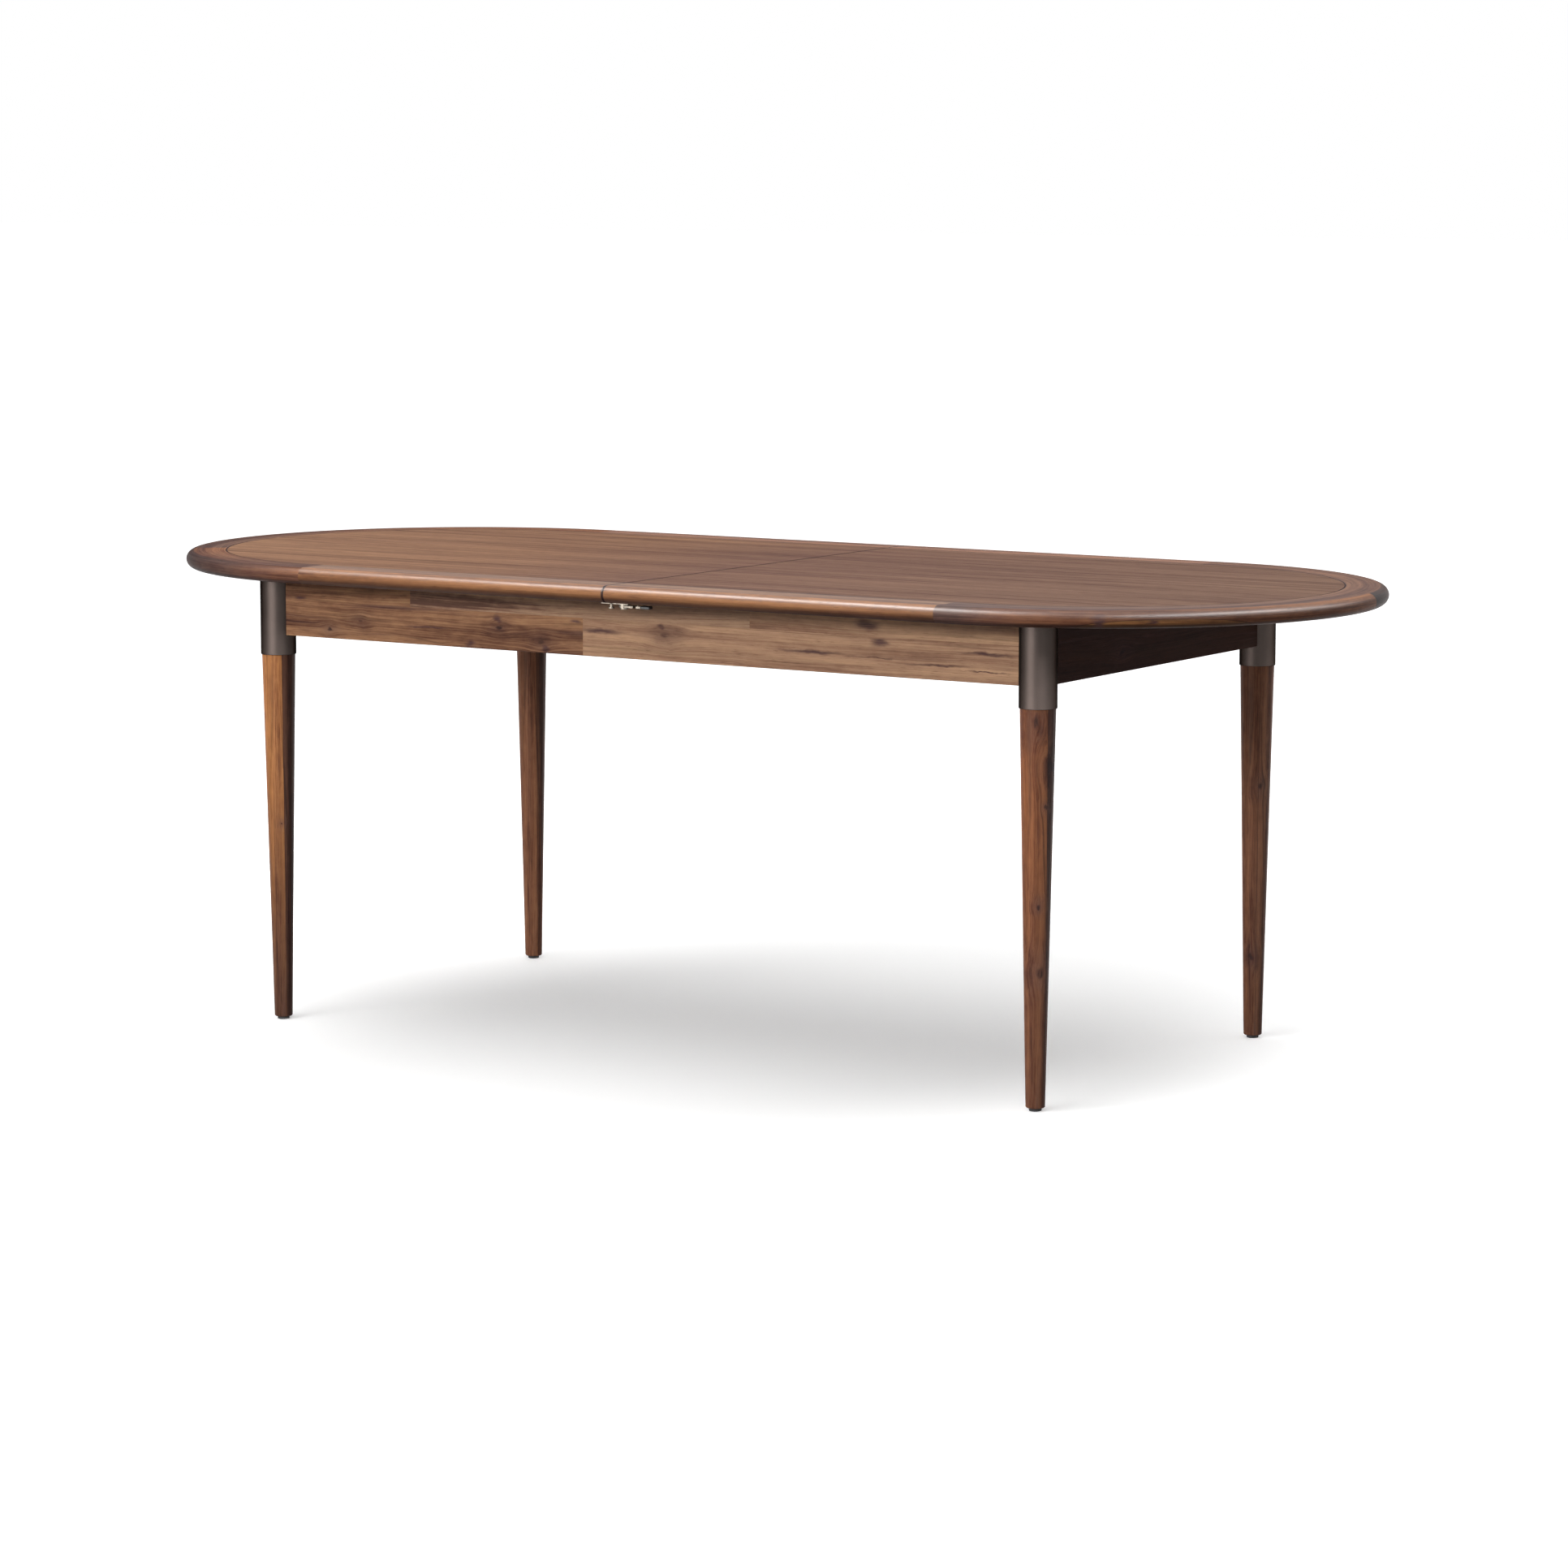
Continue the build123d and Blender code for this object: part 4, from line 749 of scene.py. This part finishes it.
def leg_wood(leg, stave_colours, foot, colour_joints, glue_joints, knots=()):
    """The joints are measured across the leg from its axis, which is that of its ferrule."""
    ferrule = leg.replace("leg", "ferrule")
    return wood(
        leg.replace("_", " ") + " wood",
        leg_layout(box_middle(ferrule, X), box_middle(ferrule, Y)),
        leg_tint(stave_colours, colour_joints, foot),
        knots=knots,
        bands=110.0,
        contrast=1.35,
        figure=0.7,
        specular=0.05,
        seams=[staves(glue_joints)],
    )


LEGS = {
    "front_left_leg": {
        "stave_colours": [LEG_GOLD, LEG_UMBER],
        "foot": LEG_UMBER,
        "colour_joints": [0.0075],
        "glue_joints": [-0.0085, 0.0075],
        "knots": [(0.33, 0.004, -0.02, 0.0022)],
    },
    "front_right_leg": {
        "stave_colours": [LEG_ORANGE, LEG_UMBER],
        "foot": LEG_BROWN,
        "colour_joints": [0.014],
        "glue_joints": [0.014],
        "knots": [
            (0.588, -0.004, -0.026, 0.0085),
            (0.522, 0.021, -0.014, 0.0070),
            (0.460, 0.012, -0.021, 0.0025),
            (0.315, 0.002, -0.020, 0.0030),
            (0.212, 0.006, -0.018, 0.0070),
        ],
    },
    "rear_left_leg": {
        "stave_colours": [LEG_ROSE, LEG_UMBER],
        "foot": LEG_ROSE,
        "colour_joints": [0.009],
        "glue_joints": [0.009],
    },
    "rear_right_leg": {
        "stave_colours": [LEG_ROSE],
        "foot": LEG_BROWN,
        "colour_joints": [],
        "glue_joints": [0.002],
        "knots": [(0.415, 0.006, -0.022, 0.0045), (0.135, -0.006, -0.016, 0.0045)],
    },
}
leg_woods = {leg: leg_wood(leg, **look) for leg, look in LEGS.items()}

# ---- hidden woods

frame_wood = wood(
    "frame wood",
    along_y,
    plain(rgb(176, 138, 98)),
    bands=90.0,
    contrast=0.7,
    figure=0.1,
    gloss=0.62,
    specular=0.2,
)
slide_wood = wood(
    "slide wood",
    along_x,
    plain(rgb(190, 152, 108)),
    bands=140.0,
    contrast=0.6,
    figure=0.05,
    gloss=0.5,
    specular=0.3,
)
dowel_wood = wood(
    "dowel wood",
    along_x,
    plain(rgb(196, 160, 118)),
    bands=220.0,
    contrast=0.5,
    figure=0.05,
    gloss=0.55,
    specular=0.2,
)

# ---------------------------------------------------------------- metal, rubber and plastic


def metal(name, colour, roughness, marks_per_metre, wear=0.12, bump=0.08, edge=1.0, tarnish=0.62):
    """Metal with fine marks, and clouds tarnished to that share of the colour. wear is how much the
    roughness varies, and edge how bright the metal is where it is seen edge on."""
    s = Shader(name)
    point = s.position()
    marks = s.noise(point, marks_per_metre, detail=3.0, roughness=0.7)
    cloud = s.noise(point, (22.0, 22.0, 22.0), detail=3.0)
    speck = s.noise(point, (900.0, 900.0, 900.0), detail=1.0)
    dark = tuple(channel * tarnish for channel in colour[:3]) + (1.0,)
    blend = s.add(s.times(marks, 0.5), s.times(cloud, 0.5))
    base = s.mix(s.smooth(blend, 0.38, 0.62), dark, colour)
    rough = s.add(roughness - wear / 2, s.times(marks, wear), s.times(s.smooth(cloud, 0.5, 0.8), wear))
    height = s.add(s.times(marks, 0.5), s.times(speck, 0.5))
    constants = {"Metallic": 1.0, "Specular IOR Level": 0.2, "Specular Tint": (edge, edge, edge, 1)}
    return s.finish(base, rough, height, (bump, 0.0002), constants)


def moulded(name, colour, roughness):
    """Moulded plastic or rubber with a fine texture and slight dust."""
    s = Shader(name)
    point = s.position()
    cells = s.noise(point, (1800.0, 1800.0, 1800.0), detail=2.0)
    dust = s.noise(point, (60.0, 60.0, 60.0), detail=4.0)
    pale = tuple(min(1.0, channel * 1.35 + 0.004) for channel in colour[:3]) + (1.0,)
    base = s.mix(s.times(s.smooth(dust, 0.5, 0.75), 0.6), colour, pale)
    rough = s.add(roughness - 0.05, s.times(cells, 0.06), s.times(dust, 0.06))
    return s.finish(base, rough, cells, (0.12, 0.0002), {"Specular IOR Level": 0.45})


ferrule_metal = metal(
    "bronzed ferrule steel",
    rgb(56, 49, 46),
    0.42,
    marks_per_metre=(1400, 1400, 1100),
    wear=0.06,
    bump=0.1,
    edge=0.03,
    tarnish=0.86,
)
zinc = metal("zinc-plated steel", rgb(176, 174, 168), 0.34, (120, 120, 120))
dark_steel = metal("blackened steel", rgb(52, 50, 50), 0.45, (140, 140, 140))
nickel = metal("nickel plate", rgb(122, 114, 104), 0.38, (160, 160, 160), wear=0.08, bump=0.04)
rubber = moulded("glide rubber", rgb(26, 24, 24), 0.7)
nylon = moulded("nylon", rgb(222, 216, 204), 0.42)
black_plastic = moulded("black plastic", rgb(20, 20, 21), 0.38)

# ---------------------------------------------------------------- finishes on the CAD pieces

FINISHES = {  # by the record's material slot
    "top_veneer": top_wood,
    "rim_wood": rim_wood,
    "frame_wood": frame_wood,
    "slide_wood": slide_wood,
    "dowel_wood": dowel_wood,
    "ferrule_metal": ferrule_metal,
    "glide_rubber": rubber,
    "steel_zinc": zinc,
    "steel_dark": dark_steel,
    "nickel": nickel,
    "nylon": nylon,
    "black_plastic": black_plastic,
}
SPECIAL = {  # by node, before the slot
    "front_apron": front_apron_wood,
    "rear_apron": rear_apron_wood,
    "left_apron": end_apron_wood,
    "right_apron": end_apron_wood,
    "front_right_curved_rim": right_rim_wood,
    "rear_right_curved_rim": right_rim_wood,
    "front_left_curved_rim": left_rim_wood,
    "rear_left_curved_rim": left_rim_wood,
    **leg_woods,
}

for name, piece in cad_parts.items():
    for slot in piece.material_slots:
        slot.material = SPECIAL.get(name) or FINISHES[slot.material.name]

# ---------------------------------------------------------------- floor, light and camera


def shown_directly(s):
    """1 for what the camera sees, straight or in a shiny or clear surface."""
    path = s.node("ShaderNodeLightPath").outputs
    seen = s.add(path["Is Camera Ray"], path["Is Glossy Ray"], path["Is Transmission Ray"])
    return s.maths("MINIMUM", seen, 1.0)


FLOOR_HALF = 60
FLOOR_DIRECT = (0.92, 0.92, 0.92, 1)  # the floor's colour where it is seen
FLOOR_BOUNCE = (0.30, 0.30, 0.30, 1)  # and for the light that it throws up on the table
SHADOW_SHAPE = (1.0, 0.55, 0.0)  # the shape of the painted shadow's edge, longer across the table's length than along it
SHADOW_RISE = (0.42, 1.42)  # where the painted glow starts to turn the floor white, and where it is white
SHADOW_LIFT = 0.19  # how much of that painted glow is there in the middle
WHITE = (1, 1, 1, 1)
ROOM_LIGHT = 0.28  # the share of the white room's strength that lights the table


def make_floor():
    """A pale floor that keeps the table's shadow and is white further out. Its glow, seen by the camera and
    in glossy surfaces, is painted light that grows from the middle outwards and trims the shadow to a soft
    ellipse.
    """
    mesh = bpy.data.meshes.new("floor")
    signs = ((-1, -1), (1, -1), (1, 1), (-1, 1))
    mesh.from_pydata([(x * FLOOR_HALF, y * FLOOR_HALF, 0) for x, y in signs], [], [(0, 1, 2, 3)])
    floor = bpy.data.objects.new("floor", mesh)
    bpy.context.scene.collection.objects.link(floor)
    s = Shader("floor")
    direct = shown_directly(s)
    diffuse = s.node("ShaderNodeBsdfDiffuse", {"Color": s.mix(direct, FLOOR_BOUNCE, FLOOR_DIRECT)})
    # Painted light: the glow rises with distance from the middle and so trims the table's shadow.
    away = s.vector("LENGTH", s.vector("MULTIPLY", s.position(), SHADOW_SHAPE))
    painted_glow = s.smooth(away, *SHADOW_RISE, SHADOW_LIFT, 1.0)
    lift = s.node("ShaderNodeEmission", {"Color": WHITE, "Strength": s.times(direct, painted_glow)})
    both = s.node("ShaderNodeAddShader", {0: diffuse.outputs[0], 1: lift.outputs[0]})
    output = s.node("ShaderNodeOutputMaterial")
    s.tree.links.new(both.outputs[0], output.inputs["Surface"])
    mesh.materials.append(s.material)


def make_world():
    """A white room that lights the table only softly."""
    world = bpy.data.worlds.new("studio")
    world.use_nodes = True
    tree = world.node_tree
    background = tree.nodes["Background"]
    background.inputs["Color"].default_value = WHITE
    path = tree.nodes.new("ShaderNodeLightPath").outputs
    total = path["Is Camera Ray"]
    for other in ("Is Glossy Ray", "Is Transmission Ray"):
        joined = tree.nodes.new("ShaderNodeMath")
        joined.use_clamp = True
        tree.links.new(total, joined.inputs[0])
        tree.links.new(path[other], joined.inputs[1])
        total = joined.outputs[0]
    strength = tree.nodes.new("ShaderNodeMapRange")
    tree.links.new(total, strength.inputs["Value"])
    strength.inputs["To Min"].default_value = ROOM_LIGHT
    tree.links.new(strength.outputs[0], background.inputs["Strength"])
    bpy.context.scene.world = world


def area_light(name, place, target, size, power, only_shine=False):
    """A softbox. One that gives only shine is seen in glossy surfaces and lights nothing else."""
    data = bpy.data.lights.new(name, "AREA")
    data.shape = "RECTANGLE"
    data.size, data.size_y = size
    data.energy = power
    light = bpy.data.objects.new(name, data)
    light.location = place
    light.rotation_euler = (Vector(target) - Vector(place)).to_track_quat("-Z", "Y").to_euler()
    light.visible_camera = False
    light.visible_diffuse = not only_shine
    bpy.context.scene.collection.objects.link(light)


LAMPS = [  # name, place, what it points at, size, power in watts
    ("overhead", (-0.3, 0.0, 3.2), (-0.3, 0.0, 0.0), (5.0, 4.5), 105),
    ("key", (-0.9, -5.2, 2.2), (0.0, -0.3, 0.7), (4.6, 1.3), 215),
]
SHINES = [  # the same, for the lamps that give only shine
    ("rim shine", (-1.15, -1.8, 4.2), (0.2, -0.45, 0.75), (3.0, 1.7), 4300),
    ("leg shine", (-0.9, -5.2, 0.6), (0.0, -0.3, 0.6), (3.6, 1.2), 170),
    ("right shine", (4.6, -3.2, 1.0), (0.7, -0.3, 0.6), (0.7, 1.8), 8),
    ("end shine", (2.95, -0.5, 3.05), (0.95, -0.3, 0.75), (4.2, 0.6), 3900),
    ("tip shine", (2.9, 1.6, 2.1), (1.02, -0.1, 0.75), (1.8, 0.4), 240),
]
SENSOR_WIDTH = 36.0  # millimetres
FOCAL_LENGTH = 110.83
CAMERA_PLACE = (4.2313, -6.5518, 1.4387)
CAMERA_TILT = 0.132  # radians down from level
CAMERA_TURN = 0.569  # radians to the left from facing the rear
VIEW_REACH = 200.0


def make_camera():
    """Looks from the front right, a little from above."""
    data = bpy.data.cameras.new("camera")
    data.sensor_width = SENSOR_WIDTH
    data.lens = FOCAL_LENGTH
    data.clip_end = VIEW_REACH
    camera = bpy.data.objects.new("camera", data)
    camera.location = CAMERA_PLACE
    camera.rotation_euler = (math.pi / 2 - CAMERA_TILT, 0.0, CAMERA_TURN)
    bpy.context.scene.collection.objects.link(camera)
    bpy.context.scene.camera = camera


make_floor()
make_world()
for lamp in LAMPS:
    area_light(*lamp)
for lamp in SHINES:
    area_light(*lamp, only_shine=True)
make_camera()
bpy.context.scene.view_settings.view_transform = "Standard"
